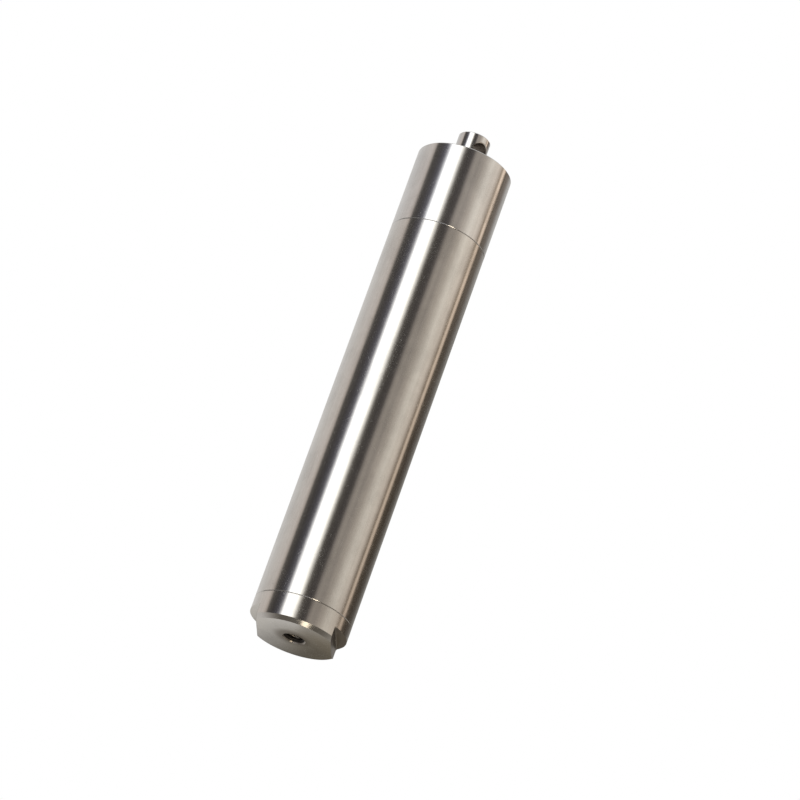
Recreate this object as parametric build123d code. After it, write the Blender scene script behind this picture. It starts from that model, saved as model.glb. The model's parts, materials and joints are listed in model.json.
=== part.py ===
from build123d import *

import math
import os

# A submersible temperature data logger, standing on its end plug. A turned stainless tube is closed below
# by an end plug with wrench flats and above by a screw cap with a cross-drilled lanyard stud. Inside are
# the sensor, the cell, a moulded carrier, the circuit board and the read-out socket in the tube's neck.
# Millimetres. +Z runs up the housing's axis, the origin is the centre of the plug's flat bottom face,
# and the wrench flats face +X and -X.

# Outside
body_diameter = 17.5
flange_height = 4.85  # end plug below its seam with the tube
tube_length = 74.25  # between the two seams
cap_height = 15.8  # upper seam to the cap's top face
stud_diameter = 5.9
stud_height = 6.0
stud_root_chamfer = 0.25
eye_diameter = 3.2
eye_height = 3.0  # axis of the cross hole above the cap's top face
eye_turn = -45.0  # degrees about +Z from +X to the cross hole's axis
eye_rim_break = 0.15
edge_break = 0.2
seam_break = 0.1  # each of the two edges that meet at a seam

# Foot of the end plug
foot_chamfer_width = 0.9
foot_chamfer_height = 0.6
flat_depth = 2.0  # each wrench flat below the round body
flats_height = 2.4
flats_corner_radius = 0.3
foot_hole_diameter = 3.0  # tapped for an M3 screw
foot_hole_depth = 4.6
foot_hole_mouth = 4.2
drill_point_angle = 118.0

# Tube and neck
wall = 1.35
collar_depth = 5.0  # thick collar below the upper seam, down to the carrier's stop
collar_root_chamfer = 0.4
bore_lead_in = 0.3
neck_relief_length = 1.2
neck_relief_depth = 0.3
neck_lead_in = 0.35
neck_wall = 1.5  # beside the bezel
neck_seal_drop = 2.3  # neck's top down to the middle of its seal
thread_runout = 0.65
bezel_ledge = 0.35
bezel_bore_depth = 4.0

# Inside of the cap
cap_wall = 1.35  # outside to the root of the inside thread
thread_room = 0.6  # root of the inside thread to root of the outside thread
seal_bore_step = 0.55
neck_land_gap = 0.15
seal_margin = 1.15  # middle of the neck's seal to the top of the cap's thread
seal_lead_in = 0.3
cavity_step = 0.8
cap_end_gap = 0.4  # neck's top to the step above it
cap_air = 3.8  # neck's top to the cap's roof
cap_roof = 2.7
cap_roof_chamfer = 0.8

# Seals and their glands
seal_depth = 0.85  # gland floor to the sealed wall
seal_width = 1.1
seal_shoulder = 0.3  # sloped part of each side of a squeezed seal
seal_seat_gap = 0.03
seal_side_gap = 0.1
seal_wall_gap = 0.03
cap_seal_gap = 0.07

# Spigot of the end plug
spigot_length = 7.5
spigot_gap = 0.05
spigot_relief_length = 0.8
spigot_relief_depth = 0.45
spigot_lead_in = 0.35
seal_end_room = 1.25  # spigot's end down to the middle of the upper plug seal
seal_pitch = 1.8

# Sensor, in a pocket beside the tapped hole
pocket_diameter = 2.3
pocket_side_wall = 1.05  # pocket to the floor of the seals' glands
pocket_skin = 1.2  # metal left between the pocket and the bottom face
element_width = 1.3
element_thickness = 0.7
element_length = 3.1
element_lift = 0.4
leg_diameter = 0.25
leg_length = 1.8
epoxy_drop = 3.8  # spigot's end down to the resin
lead_diameter = 0.7
lead_spacing = 0.9
lead_standoff = 0.15
lead_straight = 1.8  # straight run of the leads below their plug

# Cell and its contacts
cell_inset = 2.4  # tube's bore to the cell
cell_edge_break = 0.5
nub_diameter = 3.8
nub_height = 0.9
strip_thickness = 0.2
leaf_height = 1.5
leaf_width = 3.4
leaf_reach = 2.7
strap_lead_gap = 0.55
strap_boss_gap = 0.3
plus_plate = 4.7
plus_plate_corner = 0.7
plus_tab_width = 1.6
plus_tab_height = 4.0

# Carrier
carrier_gap = 0.25
cell_gap = 0.15
pad_thickness = 1.6
carrier_floor = 1.35
bulkhead_thickness = 1.5
board_room = 27.4  # bulkhead's top to the carrier's stop
snap_depth = 1.4  # how far the cradle's lips reach past the cell's middle
back_wall = 1.0
cradle_window_count = 3
cradle_window_width = 4.7
cradle_window_corner = 0.7
cradle_rib = 3.0  # between two windows
lead_notch_width = 2.4
rail_grip = 0.5
rail_depth = 2.8
slot_gap = 0.05

# Circuit board
board_thickness = 0.8
board_side_room = 1.35  # tube's bore to the board's edge
board_foot_gap = 0.3
board_shoulder_gap = 1.0
tongue_gap = 0.55  # throat to the tongue's edge
tongue_end_gap = 6.5  # tongue's end to the bezel's seat
screw_height = 1.8
screw_diameter = 1.2
screw_head_diameter = 2.0
screw_head_height = 0.7
screw_length = 2.7
screw_gap = 0.08
boss_width = 2.2
boss_height = 3.5
boss_depth = 3.1

# Parts on the board. Their places are shares of the board's half width and of its length.
quad_chip_width = 5.0
quad_chip_height = 1.0
chip_width = 3.0
chip_length = 3.0
chip_height = 0.95
regulator_width = 1.6
regulator_length = 2.9
regulator_height = 1.0
chip_lead_width = 0.25
chip_lead_reach = 0.6
chip_lead_thickness = 0.13
chip_standoff = 0.08
two_pole_length = 1.0
two_pole_width = 0.5
ceramic_height = 0.5
resistor_height = 0.35
reservoir_width = 3.2
reservoir_length = 6.0
reservoir_height = 2.6
crystal_diameter = 1.5
crystal_length = 4.0
crystal_edge_break = 0.3
connector_width = 3.4
sensor_plug_height = 1.6
sensor_header_height = 1.9
connector_place = 0.185

# Read-out socket, bezel and retaining ring
socket_bore_diameter = 2.6
socket_bore_depth = 7.0
socket_nose_diameter = 4.7
socket_flange_diameter = 7.0
socket_flange_thickness = 1.1
socket_body_diameter = 5.7
socket_back_wall = 0.7
tail_width = 0.4
tail_spacing = 2.7
tail_grip = 1.6
gasket_thickness = 0.4
bezel_thickness = 2.5
bezel_gap = 0.05
bezel_rim = 1.5  # bezel's bore in to its dish
bezel_dish_depth = 0.35
pin_hole_diameter = 0.8
pin_hole_depth = 1.1
pin_hole_inset = 0.95  # bezel's bore in to the middle of each pin hole
ring_thickness = 0.55
ring_slot_gap = 0.04
ring_bite = 0.35
ring_overhang = 0.5
ring_opening = 60.0  # degrees left open in the retaining ring

# Heights worked out from the sizes above
lower_seam = flange_height
upper_seam = lower_seam + tube_length
cap_face = upper_seam + cap_height
neck_length = cap_height - cap_roof - cap_air
neck_top = upper_seam + neck_length
neck_seal_height = neck_length - neck_seal_drop
cap_thread_depth = neck_seal_height - seal_margin
neck_thread_length = cap_thread_depth - thread_runout - neck_relief_length
carrier_stop = upper_seam - collar_depth
bezel_seat = neck_top - bezel_bore_depth
bezel_bottom = bezel_seat + gasket_thickness
bezel_top = bezel_bottom + bezel_thickness
spigot_top = lower_seam + spigot_length
upper_seal_height = spigot_length - seal_end_room
lower_seal_height = upper_seal_height - seal_pitch
pocket_floor = pocket_skin
carrier_bottom = spigot_top + pad_thickness
floor_top = carrier_bottom + carrier_floor
cell_bottom = floor_top + leaf_height
bulkhead_top = carrier_stop - board_room
bulkhead_bottom = bulkhead_top - bulkhead_thickness
cell_top = bulkhead_bottom - strip_thickness
board_bottom = bulkhead_top + board_foot_gap
board_shoulder = carrier_stop - board_shoulder_gap
board_top = bezel_seat - tongue_end_gap
board_length = board_top - board_bottom
screw_z = bulkhead_top + screw_height
connector_low = board_bottom + connector_place * board_length

# Radii and distances from the axis worked out from the sizes above
body_r = body_diameter / 2
bore_r = body_r - wall
cap_thread_r = body_r - cap_wall
neck_core_r = cap_thread_r - thread_room
seal_bore_r = cap_thread_r - seal_bore_step
cap_cavity_r = seal_bore_r - cavity_step
neck_land_r = seal_bore_r - neck_land_gap
bezel_bore_r = neck_land_r - neck_wall
throat_r = bezel_bore_r - bezel_ledge
pocket_offset = bore_r - seal_depth - pocket_side_wall - pocket_diameter / 2
cell_r = bore_r - cell_inset
carrier_r = bore_r - carrier_gap
cradle_r = cell_r + cell_gap
back_flat = cradle_r + back_wall
lead_y = back_flat + lead_standoff + lead_diameter / 2
board_face = board_thickness / 2
board_width = 2 * (bore_r - board_side_room)
tongue_width = 2 * (throat_r - tongue_gap)
board_corner_radius = 0.2 * (board_width - tongue_width)
lead_drop_y = board_thickness + lead_diameter  # leads where they enter their plug
rail_inset = board_width / 2 - rail_grip
screw_offset = rail_inset - screw_head_diameter / 2 - screw_gap
strap_inner = (lead_spacing + lead_diameter) / 2 + strap_lead_gap
strap_outer = screw_offset - boss_width / 2 - strap_boss_gap

past = 1.0  # how far a cutting body runs past the faces that it cuts


def turned(outline):
    """Return the solid that a closed outline of (radius, height) points sweeps about the Z axis."""
    return revolve(Plane.XZ * make_face(Polyline(*outline, close=True)), Axis.Z)


def ring(inner_r, outer_r, low, high):
    """Return a plain ring about the Z axis."""
    return turned([(inner_r, low), (outer_r, low), (outer_r, high), (inner_r, high)])


def block(low, high):
    """Return a box from its lowest corner to its highest."""
    size = [b - a for a, b in zip(low, high)]
    middle = [(a + b) / 2 for a, b in zip(low, high)]
    return Pos(*middle) * Box(*size)


def rod(radius, low, high, x=0.0, y=0.0):
    """Return an upright round rod."""
    return Pos(x, y, (low + high) / 2) * Cylinder(radius, high - low)


def seal(floor_r, wall_r, height):
    """Return a ring seal about the Z axis, its section squeezed flat on its floor and its wall."""
    half = seal_width / 2
    return turned([
        (floor_r, height - half + seal_shoulder),
        ((floor_r + wall_r) / 2, height - half),
        (wall_r, height - half + seal_shoulder),
        (wall_r, height + half - seal_shoulder),
        ((floor_r + wall_r) / 2, height + half),
        (floor_r, height + half - seal_shoulder),
    ])


def gland(wall_r, height):
    """Return the groove that a ring seal sits in, as a body to cut."""
    half = seal_width / 2 + seal_side_gap
    return ring(wall_r - seal_depth, wall_r + past, height - half, height + half)


def spot(across, along):
    """Return the (x, z) place on the board at a share of its half width and a share of its length."""
    return across * board_width / 2, board_bottom + along * board_length


def make_housing_tube():
    """The tube: bore from below, thick collar, and the threaded neck that the cap screws onto."""
    relief_r = neck_core_r - neck_relief_depth
    thread_low = upper_seam + neck_relief_length
    thread_high = thread_low + neck_thread_length
    tube = turned([
        (bore_r + bore_lead_in, lower_seam),
        (body_r - seam_break, lower_seam),
        (body_r, lower_seam + seam_break),
        (body_r, upper_seam - seam_break),
        (body_r - seam_break, upper_seam),
        (relief_r, upper_seam),
        (relief_r, thread_low),
        (neck_core_r, thread_low + neck_relief_depth),
        (neck_core_r, thread_high - neck_core_r + neck_land_r),
        (neck_land_r, thread_high),
        (neck_land_r, neck_top - neck_lead_in),
        (neck_land_r - neck_lead_in, neck_top),
        (bezel_bore_r + edge_break, neck_top),
        (bezel_bore_r, neck_top - edge_break),
        (bezel_bore_r, bezel_seat),
        (throat_r, bezel_seat),
        (throat_r, carrier_stop),
        (bore_r - collar_root_chamfer, carrier_stop),
        (bore_r, carrier_stop - collar_root_chamfer),
        (bore_r, lower_seam + 2 * bore_lead_in),
    ])
    tube -= gland(seal_bore_r, upper_seam + neck_seal_height)
    slot_top = bezel_top + ring_thickness + ring_slot_gap
    return tube - ring(throat_r, bezel_bore_r + ring_bite, bezel_top, slot_top)


def make_eyelet_cap():
    """The screw cap, a deep cup, with the lanyard stud and its cross hole on top."""
    stud_r = stud_diameter / 2
    stud_top = cap_face + stud_height
    thread_top = upper_seam + cap_thread_depth
    step = neck_top + cap_end_gap
    roof = cap_face - cap_roof
    cap = turned([
        (cap_thread_r + edge_break, upper_seam),
        (body_r - seam_break, upper_seam),
        (body_r, upper_seam + seam_break),
        (body_r, cap_face - edge_break),
        (body_r - edge_break, cap_face),
        (stud_r + stud_root_chamfer, cap_face),
        (stud_r, cap_face + stud_root_chamfer),
        (stud_r, stud_top - edge_break),
        (stud_r - edge_break, stud_top),
        (0, stud_top),
        (0, roof),
        (cap_cavity_r - cap_roof_chamfer, roof),
        (cap_cavity_r, roof - cap_roof_chamfer),
        (cap_cavity_r, step),
        (seal_bore_r, step),
        (seal_bore_r, thread_top + seal_lead_in),
        (seal_bore_r + seal_lead_in, thread_top),
        (cap_thread_r, thread_top),
        (cap_thread_r, upper_seam + edge_break),
    ])
    eye = Pos(0, 0, cap_face + eye_height) * Rot(0, 90, 0) * Cylinder(eye_diameter / 2, body_diameter)
    cap -= Rot(0, 0, eye_turn) * eye
    low_rim = cap_face + eye_height - eye_diameter / 2
    high_rim = cap_face + eye_height + eye_diameter / 2
    rims = [
        edge
        for edge in cap.edges()
        if edge.geom_type != GeomType.LINE
        and abs(edge.bounding_box().min.Z - low_rim) < eye_rim_break / 2
        and abs(edge.bounding_box().max.Z - high_rim) < eye_rim_break / 2
    ]
    return chamfer(rims, eye_rim_break)


def make_end_plug():
    """The end plug: flange with wrench flats and a tapped foot hole, and a spigot with two seal glands."""
    hole_r = foot_hole_diameter / 2
    mouth_r = foot_hole_mouth / 2
    point = hole_r / math.tan(math.radians(drill_point_angle / 2))
    spigot_r = bore_r - spigot_gap
    relief_r = spigot_r - spigot_relief_depth
    relief_top = lower_seam + spigot_relief_length
    plug = turned([
        (0, foot_hole_depth + point),
        (hole_r, foot_hole_depth),
        (hole_r, mouth_r - hole_r),
        (mouth_r, 0),
        (body_r - foot_chamfer_width, 0),
        (body_r, foot_chamfer_height),
        (body_r, lower_seam - seam_break),
        (body_r - seam_break, lower_seam),
        (relief_r, lower_seam),
        (relief_r, relief_top),
        (spigot_r, relief_top + spigot_relief_depth),
        (spigot_r, spigot_top - spigot_lead_in),
        (spigot_r - spigot_lead_in, spigot_top),
        (0, spigot_top),
    ])
    plug -= gland(bore_r, lower_seam + lower_seal_height)
    plug -= gland(bore_r, lower_seam + upper_seal_height)
    plug -= rod(pocket_diameter / 2, pocket_floor, spigot_top + past, y=pocket_offset)
    half = body_r - flat_depth
    corner = flats_corner_radius
    cutter = make_face(
        Polyline((half + corner, flats_height), (body_r + past, flats_height), (body_r + past, -past),
                 (half, -past), (half, flats_height - corner))
        + RadiusArc((half, flats_height - corner), (half + corner, flats_height), corner)
    )
    flat = extrude(Plane.XZ * cutter, body_r + past, both=True)
    return plug - flat - mirror(flat, Plane.YZ)


def make_neck_seal():
    """The ring seal between the neck and the cap."""
    floor_r = seal_bore_r - seal_depth + seal_seat_gap
    return seal(floor_r, seal_bore_r - cap_seal_gap, upper_seam + neck_seal_height)


def make_plug_seal(height):
    """One ring seal between the end plug and the tube, at a height above the lower seam."""
    return seal(bore_r - seal_depth + seal_seat_gap, bore_r - seal_wall_gap, lower_seam + height)


def make_battery_cell():
    """The sealed cell, its can, sleeve and raised positive end in one."""
    can_top = cell_top - nub_height
    nub_r = nub_diameter / 2
    return turned([
        (0, cell_bottom),
        (cell_r - cell_edge_break, cell_bottom),
        (cell_r, cell_bottom + cell_edge_break),
        (cell_r, can_top - cell_edge_break),
        (cell_r - cell_edge_break, can_top),
        (nub_r, can_top),
        (nub_r, cell_top - edge_break),
        (nub_r - edge_break, cell_top),
        (0, cell_top),
    ])


def make_foam_pad():
    """The soft disc that presses the carrier against its stop, notched for the sensor leads."""
    pad = rod(carrier_r, spigot_top, carrier_bottom)
    notch = block((-lead_notch_width / 2, pocket_offset - pocket_diameter / 2, spigot_top - past),
                  (lead_notch_width / 2, bore_r + past, carrier_bottom + past))
    return pad - notch


def make_carrier():
    """The moulded carrier: open cell cradle, bulkhead, and two slotted rails that hold the board."""
    body = turned([
        (0, carrier_bottom),
        (carrier_r, carrier_bottom),
        (carrier_r, carrier_stop - collar_root_chamfer),
        (carrier_r - collar_root_chamfer, carrier_stop),
        (0, carrier_stop),
    ])
    body -= block((-bore_r, back_flat, carrier_bottom - past), (bore_r, bore_r, bulkhead_top + past))
    cell_space = rod(cradle_r, floor_top, bulkhead_bottom)
    mouth = block((-bore_r, -bore_r, floor_top), (bore_r, -snap_depth, bulkhead_bottom))
    body -= cell_space + mouth
    body -= block((-rail_inset, -bore_r, bulkhead_top), (rail_inset, bore_r, carrier_stop + past))
    for side in (-1, 1):
        outer = block((-bore_r, side * bore_r / 2 + rail_depth / 2 - bore_r / 2, bulkhead_top),
                      (bore_r, side * bore_r / 2 - rail_depth / 2 + bore_r / 2, carrier_stop + past))
        body -= outer
    for side in (-1, 1):
        middle = side * screw_offset
        boss = block((middle - boss_width / 2, board_face + slot_gap, bulkhead_top),
                     (middle + boss_width / 2, board_face + boss_depth, bulkhead_top + boss_height))
        pilot = Pos(middle, board_face, screw_z) * Rot(90, 0, 0) * Cylinder(
            screw_diameter / 2, 2 * (screw_length - board_thickness + screw_gap)
        )
        body += boss & rod(carrier_r, bulkhead_top, carrier_stop)
        body -= pilot
    slot_half = board_face + slot_gap
    body -= block((-board_width / 2 - slot_gap, -slot_half, bulkhead_top),
                  (board_width / 2 + slot_gap, slot_half, carrier_stop + past))
    body -= block((-lead_notch_width / 2, pocket_offset - pocket_diameter / 2, carrier_bottom - past),
                  (lead_notch_width / 2, bore_r, cell_bottom + lead_diameter))
    return body - make_carrier_openings()


def make_carrier_openings():
    """The windows in the cradle's back and the slots that the contact strips pass through."""
    gap = slot_gap
    strap_slot = block(
        (-strap_outer - gap, 0, floor_top),
        (-strap_inner + gap, bore_r, floor_top + strip_thickness + gap),
    )
    tab_slot = block(
        (-plus_tab_width / 2 - gap, board_face - gap, bulkhead_bottom - past),
        (plus_tab_width / 2 + gap, board_face + strip_thickness + gap, bulkhead_top + past),
    )
    openings = strap_slot + tab_slot
    pitch = (bulkhead_bottom - cell_bottom) / cradle_window_count
    for place in range(cradle_window_count):
        low = cell_bottom + place * pitch + cradle_rib / 2
        window = block((-cradle_window_width / 2, cradle_r / 2, low),
                       (cradle_window_width / 2, bore_r, low + pitch - cradle_rib))
        openings += fillet(window.edges().filter_by(Axis.Y), cradle_window_corner)
    return openings


def make_contact_minus():
    """The negative contact: a bowed leaf under the cell, and the strap that climbs to the board."""
    leaf_rise = leaf_height - strip_thickness
    inner = ThreePointArc(
        (-leaf_reach, floor_top), (0, floor_top + leaf_rise), (leaf_reach, floor_top)
    )
    outer = ThreePointArc(
        (-leaf_reach - strip_thickness, floor_top), (0, floor_top + leaf_height),
        (leaf_reach + strip_thickness, floor_top),
    )
    feet = Line(inner @ 0, outer @ 0) + Line(inner @ 1, outer @ 1)
    leaf = extrude(Plane.YZ * make_face(inner + outer + feet), leaf_width / 2, both=True)
    low_x, high_x = -strap_outer, -strap_inner
    strap_y = back_flat + slot_gap
    tab_z = board_bottom + strip_thickness
    foot = block((low_x, leaf_reach - strip_thickness, floor_top),
                 (leaf_width / 2, leaf_reach + strip_thickness, floor_top + strip_thickness))
    run = block((low_x, leaf_reach - strip_thickness, floor_top),
                (high_x, strap_y + strip_thickness, floor_top + strip_thickness))
    riser = block((low_x, strap_y, floor_top), (high_x, strap_y + strip_thickness, tab_z + strip_thickness))
    tab = block((low_x, board_face, tab_z), (high_x, strap_y + strip_thickness, tab_z + strip_thickness))
    return leaf + foot + run + riser + tab


def make_contact_plus():
    """The positive contact: a plate over the cell's raised end, with a tab soldered to the board."""
    half = plus_plate / 2
    plate = block((-half, -half, cell_top), (half, half, bulkhead_bottom))
    plate = fillet(plate.edges().filter_by(Axis.Z), plus_plate_corner)
    tab = block((-plus_tab_width / 2, board_face, cell_top),
                (plus_tab_width / 2, board_face + strip_thickness, cell_top + plus_tab_height))
    return plate + tab


def make_circuit_board():
    """The board: a wide part in the carrier's rails, and a tongue that reaches up into the throat."""
    wide = board_width / 2
    narrow = tongue_width / 2
    outline = make_face(Polyline(
        (-wide, board_bottom), (wide, board_bottom), (wide, board_shoulder), (narrow, board_shoulder),
        (narrow, board_top), (-narrow, board_top), (-narrow, board_shoulder), (-wide, board_shoulder),
        close=True,
    ))
    outline = fillet(outline.vertices(), board_corner_radius)
    board = extrude(Plane.XZ * outline, board_thickness / 2, both=True)
    for side in (-1, 1):
        hole = Cylinder(screw_diameter / 2 + screw_gap, board_thickness + 2 * past)
        board -= Pos(side * screw_offset, 0, screw_z) * Rot(90, 0, 0) * hole
    return board


def make_board_screws():
    """The two pan-head screws that hold the board to the carrier's bosses."""
    screws = []
    for side in (-1, 1):
        head = Cylinder(screw_head_diameter / 2, screw_head_height)
        head = chamfer(head.edges().sort_by(Axis.Z)[-1], screw_head_height / 3)
        shank = Pos(0, 0, -(screw_head_height + screw_length) / 2) * Cylinder(
            screw_diameter / 2 - screw_gap / 2, screw_length
        )
        place = Pos(side * screw_offset, -board_face - screw_head_height / 2, screw_z) * Rot(90, 0, 0)
        screws.append(place * (head + shank))
    return screws


def chip(place, width, length, height, leads, sides=2):
    """Return a packaged chip with bent leads on the board's front.

    place is its middle on the board, leads is the number along each leaded side, and sides is 2 (left
    and right) or 4.
    """
    x, z = place
    mid = height / 2
    reach = chip_lead_reach
    thickness = chip_lead_thickness
    part = Pos(0, 0, chip_standoff + height / 2) * Box(width, length, height)
    profile = Polyline(
        (-thickness, mid), (reach / 2, mid), (reach * 0.7, thickness), (reach, thickness), (reach, 0),
        (reach * 0.6, 0), (reach * 0.4, mid - thickness), (-thickness, mid - thickness), close=True,
    )
    lead = extrude(Plane.XZ * make_face(profile), chip_lead_width / 2, both=True)
    for turn in range(0, 360, 180 if sides == 2 else 90):
        across, along = (width, length) if turn % 180 == 0 else (length, width)
        pitch = along / (leads + 0.4)
        for number in range(leads):
            offset = (number - (leads - 1) / 2) * pitch
            part += Rot(0, 0, turn) * Pos(across / 2, offset, 0) * lead
    return Pos(x, -board_face, z) * Rot(90, 0, 0) * part


def small_parts(places, height, face, upright):
    """Return plain two-ended chips at places on the board. face is -1 for its front and +1 for its back."""
    width, length = (two_pole_width, two_pole_length) if upright else (two_pole_length, two_pole_width)
    y_low, y_high = sorted((face * board_face, face * (board_face + height)))
    found = []
    for place in places:
        x, z = spot(*place)
        found.append(block((x - width / 2, y_low, z - length / 2), (x + width / 2, y_high, z + length / 2)))
    return found


def make_reservoir_capacitor():
    """The large capacitor that carries the cell through each write, on the board's back."""
    x, low = spot(0, 0.38)
    half = reservoir_width / 2
    can = block((x - half, board_face, low),
                (x + half, board_face + reservoir_height, low + reservoir_length))
    return chamfer(can.faces().sort_by(Axis.Y)[-1].edges(), reservoir_height / 8)


def make_clock_crystal():
    """The watch crystal in its metal can, on the board's front."""
    x, low = spot(0.68, 0.3)
    radius = crystal_diameter / 2
    can = rod(radius, low, low + crystal_length, x=x, y=-board_face - radius)
    return chamfer(can.edges().filter_by(GeomType.CIRCLE), crystal_edge_break)


def make_sensor_connector():
    """The pin header on the board's back and the plug on the sensor leads, seated in it."""
    half = connector_width / 2
    depth = 2 * (lead_diameter + board_face)
    plug_top = connector_low + sensor_plug_height
    plug = block((-half, board_face, connector_low), (half, board_face + depth, plug_top))
    for side in (-1, 1):
        plug -= rod(lead_diameter / 2, connector_low - past, connector_low + sensor_plug_height / 2,
                    x=side * lead_spacing / 2, y=lead_drop_y)
    header = block((-half, board_face, plug_top), (half, board_face + depth, plug_top + sensor_header_height))
    return header, plug


def make_sensor_leads():
    """The two insulated leads from the sensor's legs, up the carrier's flat back, to their plug."""
    leads = []
    start = pocket_floor + element_lift + element_length + leg_length / 2
    for side in (-1, 1):
        x = side * lead_spacing / 2
        route = Polyline(
            (x, pocket_offset, start),
            (x, pocket_offset, spigot_top + lead_diameter / 2),
            (x, lead_y, cell_bottom + lead_diameter / 2),
            (x, lead_y, bulkhead_top + lead_diameter),
            (x, lead_drop_y, connector_low - lead_straight),
            (x, lead_drop_y, connector_low + sensor_plug_height / 2),
        )
        section = Plane(route @ 0, z_dir=route % 0) * Circle(lead_diameter / 2)
        leads.append(sweep(section, route, transition=Transition.RIGHT))
    return leads


def make_sensor_element():
    """The platinum element with its two legs, at the bottom of the plug's pocket."""
    low = pocket_floor + element_lift
    high = low + element_length
    element = block((-element_width / 2, pocket_offset - element_thickness / 2, low),
                    (element_width / 2, pocket_offset + element_thickness / 2, high))
    for side in (-1, 1):
        element += rod(leg_diameter / 2, high, high + leg_length / 2, x=side * lead_spacing / 2,
                       y=pocket_offset)
    return element


def make_sensor_epoxy(element, leads):
    """The filled resin that bonds the element and its leads into the pocket."""
    fill = rod(pocket_diameter / 2, pocket_floor, spigot_top - epoxy_drop, y=pocket_offset)
    fill -= element
    for lead in leads:
        fill -= lead
    return fill


def make_interface_socket():
    """The read-out socket: nose through the bezel, flange under it, and tails down to the board."""
    nose_r = socket_nose_diameter / 2
    flange_r = socket_flange_diameter / 2
    bore = socket_bore_diameter / 2
    flange_bottom = bezel_bottom - socket_flange_thickness
    bore_bottom = bezel_top - socket_bore_depth
    back = bore_bottom - socket_back_wall
    socket = turned([
        (0, back),
        (socket_body_diameter / 2, back),
        (socket_body_diameter / 2, flange_bottom),
        (flange_r, flange_bottom),
        (flange_r, bezel_bottom),
        (nose_r, bezel_bottom),
        (nose_r, bezel_top),
        (bore + edge_break, bezel_top),
        (bore, bezel_top - edge_break),
        (bore, bore_bottom),
        (0, bore_bottom),
    ])
    for side in (-1, 1):
        x = side * tail_spacing / 2
        low_y, high_y = sorted((side * board_face, side * (board_face + tail_width)))
        socket += block((x - tail_width / 2, low_y, board_top - tail_grip),
                        (x + tail_width / 2, high_y, back))
    return socket


def make_bezel():
    """The turned disc that closes the throat and carries the socket, with two pin-wrench holes."""
    disc_r = bezel_bore_r - bezel_gap
    hole_r = socket_nose_diameter / 2 + bezel_gap
    dish_r = bezel_bore_r - bezel_rim
    bezel = turned([
        (hole_r, bezel_bottom),
        (disc_r, bezel_bottom),
        (disc_r, bezel_top),
        (dish_r + bezel_dish_depth, bezel_top),
        (dish_r, bezel_top - bezel_dish_depth),
        (hole_r, bezel_top - bezel_dish_depth),
    ])
    for side in (-1, 1):
        bezel -= rod(pin_hole_diameter / 2, bezel_top - pin_hole_depth, bezel_top + past,
                     x=side * (bezel_bore_r - pin_hole_inset))
    return bezel


def make_bezel_gasket():
    """The flat gasket between the bezel and its seat in the neck."""
    return ring(throat_r, bezel_bore_r - bezel_gap, bezel_seat, bezel_bottom)


def make_retaining_ring():
    """The open spring ring that holds the bezel down."""
    outer_r = bezel_bore_r + ring_bite - bezel_gap
    whole = ring(bezel_bore_r - ring_overhang, outer_r, bezel_top, bezel_top + ring_thickness)
    half = math.radians(ring_opening / 2)
    reach = 2 * outer_r
    wedge = make_face(Polyline(
        (0, 0), (-reach * math.sin(half), reach * math.cos(half)),
        (reach * math.sin(half), reach * math.cos(half)), close=True,
    ))
    return whole - Pos(0, 0, bezel_top - past) * extrude(wedge, ring_thickness + 2 * past)


def write_node(name, shape):
    """Write one node's STEP file. A list of shapes becomes a group of separate solids."""
    solids = shape if isinstance(shape, (list, tuple)) else [shape]
    found = [solid for item in solids for solid in item.solids()]
    export_step(found[0] if len(found) == 1 else Compound(children=found), f"parts/{name}.step")


def make_nodes():
    """Return every node's shape by name."""
    header, plug = make_sensor_connector()
    element = make_sensor_element()
    leads = make_sensor_leads()
    front, back = -1, 1
    lying_ceramics = [(-0.72, 0.5), (-0.72, 0.57), (-0.33, 0.7), (0.33, 0.7)]
    upright_ceramics = [(-0.61, 0.3), (0.61, 0.3), (-0.61, 0.64), (0.61, 0.64)]
    front_resistors = [(-0.1, 0.33), (0.1, 0.33), (0.3, 0.33), (0, 0.7)]
    back_resistors = [(-0.22, 0.67), (0, 0.67), (0.22, 0.67), (0, 0.79)]
    return {
        "housing_tube": make_housing_tube(),
        "eyelet_cap": make_eyelet_cap(),
        "end_plug": make_end_plug(),
        "neck_seal": make_neck_seal(),
        "plug_seal_lower": make_plug_seal(lower_seal_height),
        "plug_seal_upper": make_plug_seal(upper_seal_height),
        "sensor_element": element,
        "sensor_epoxy": make_sensor_epoxy(element, leads),
        "sensor_leads": leads,
        "sensor_plug": plug,
        "sensor_header": header,
        "foam_pad": make_foam_pad(),
        "carrier": make_carrier(),
        "battery_cell": make_battery_cell(),
        "contact_minus": make_contact_minus(),
        "contact_plus": make_contact_plus(),
        "circuit_board": make_circuit_board(),
        "board_screws": make_board_screws(),
        "microcontroller": chip(
            spot(0, 0.52), quad_chip_width, quad_chip_width, quad_chip_height, 8, sides=4
        ),
        "memory_chip": chip(spot(-0.46, 0.22), chip_width, chip_length, chip_height, 4),
        "converter_chip": chip(spot(0.43, 0.22), chip_width, chip_length, chip_height, 4),
        "transceiver_chip": chip(spot(0, 0.86), chip_width, chip_length, chip_height, 4),
        "voltage_regulator": chip(
            spot(-0.6, 0.38), regulator_width, regulator_length, regulator_height, 3
        ),
        "clock_crystal": make_clock_crystal(),
        "reservoir_capacitor": make_reservoir_capacitor(),
        "ceramic_capacitors": small_parts(lying_ceramics, ceramic_height, front, False)
        + small_parts(upright_ceramics, ceramic_height, back, True),
        "chip_resistors": small_parts(front_resistors, resistor_height, front, True)
        + small_parts(back_resistors, resistor_height, back, True),
        "interface_socket": make_interface_socket(),
        "bezel": make_bezel(),
        "bezel_gasket": make_bezel_gasket(),
        "retaining_ring": make_retaining_ring(),
    }


os.makedirs("parts", exist_ok=True)
for node, shape in make_nodes().items():
    write_node(node, shape)
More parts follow.
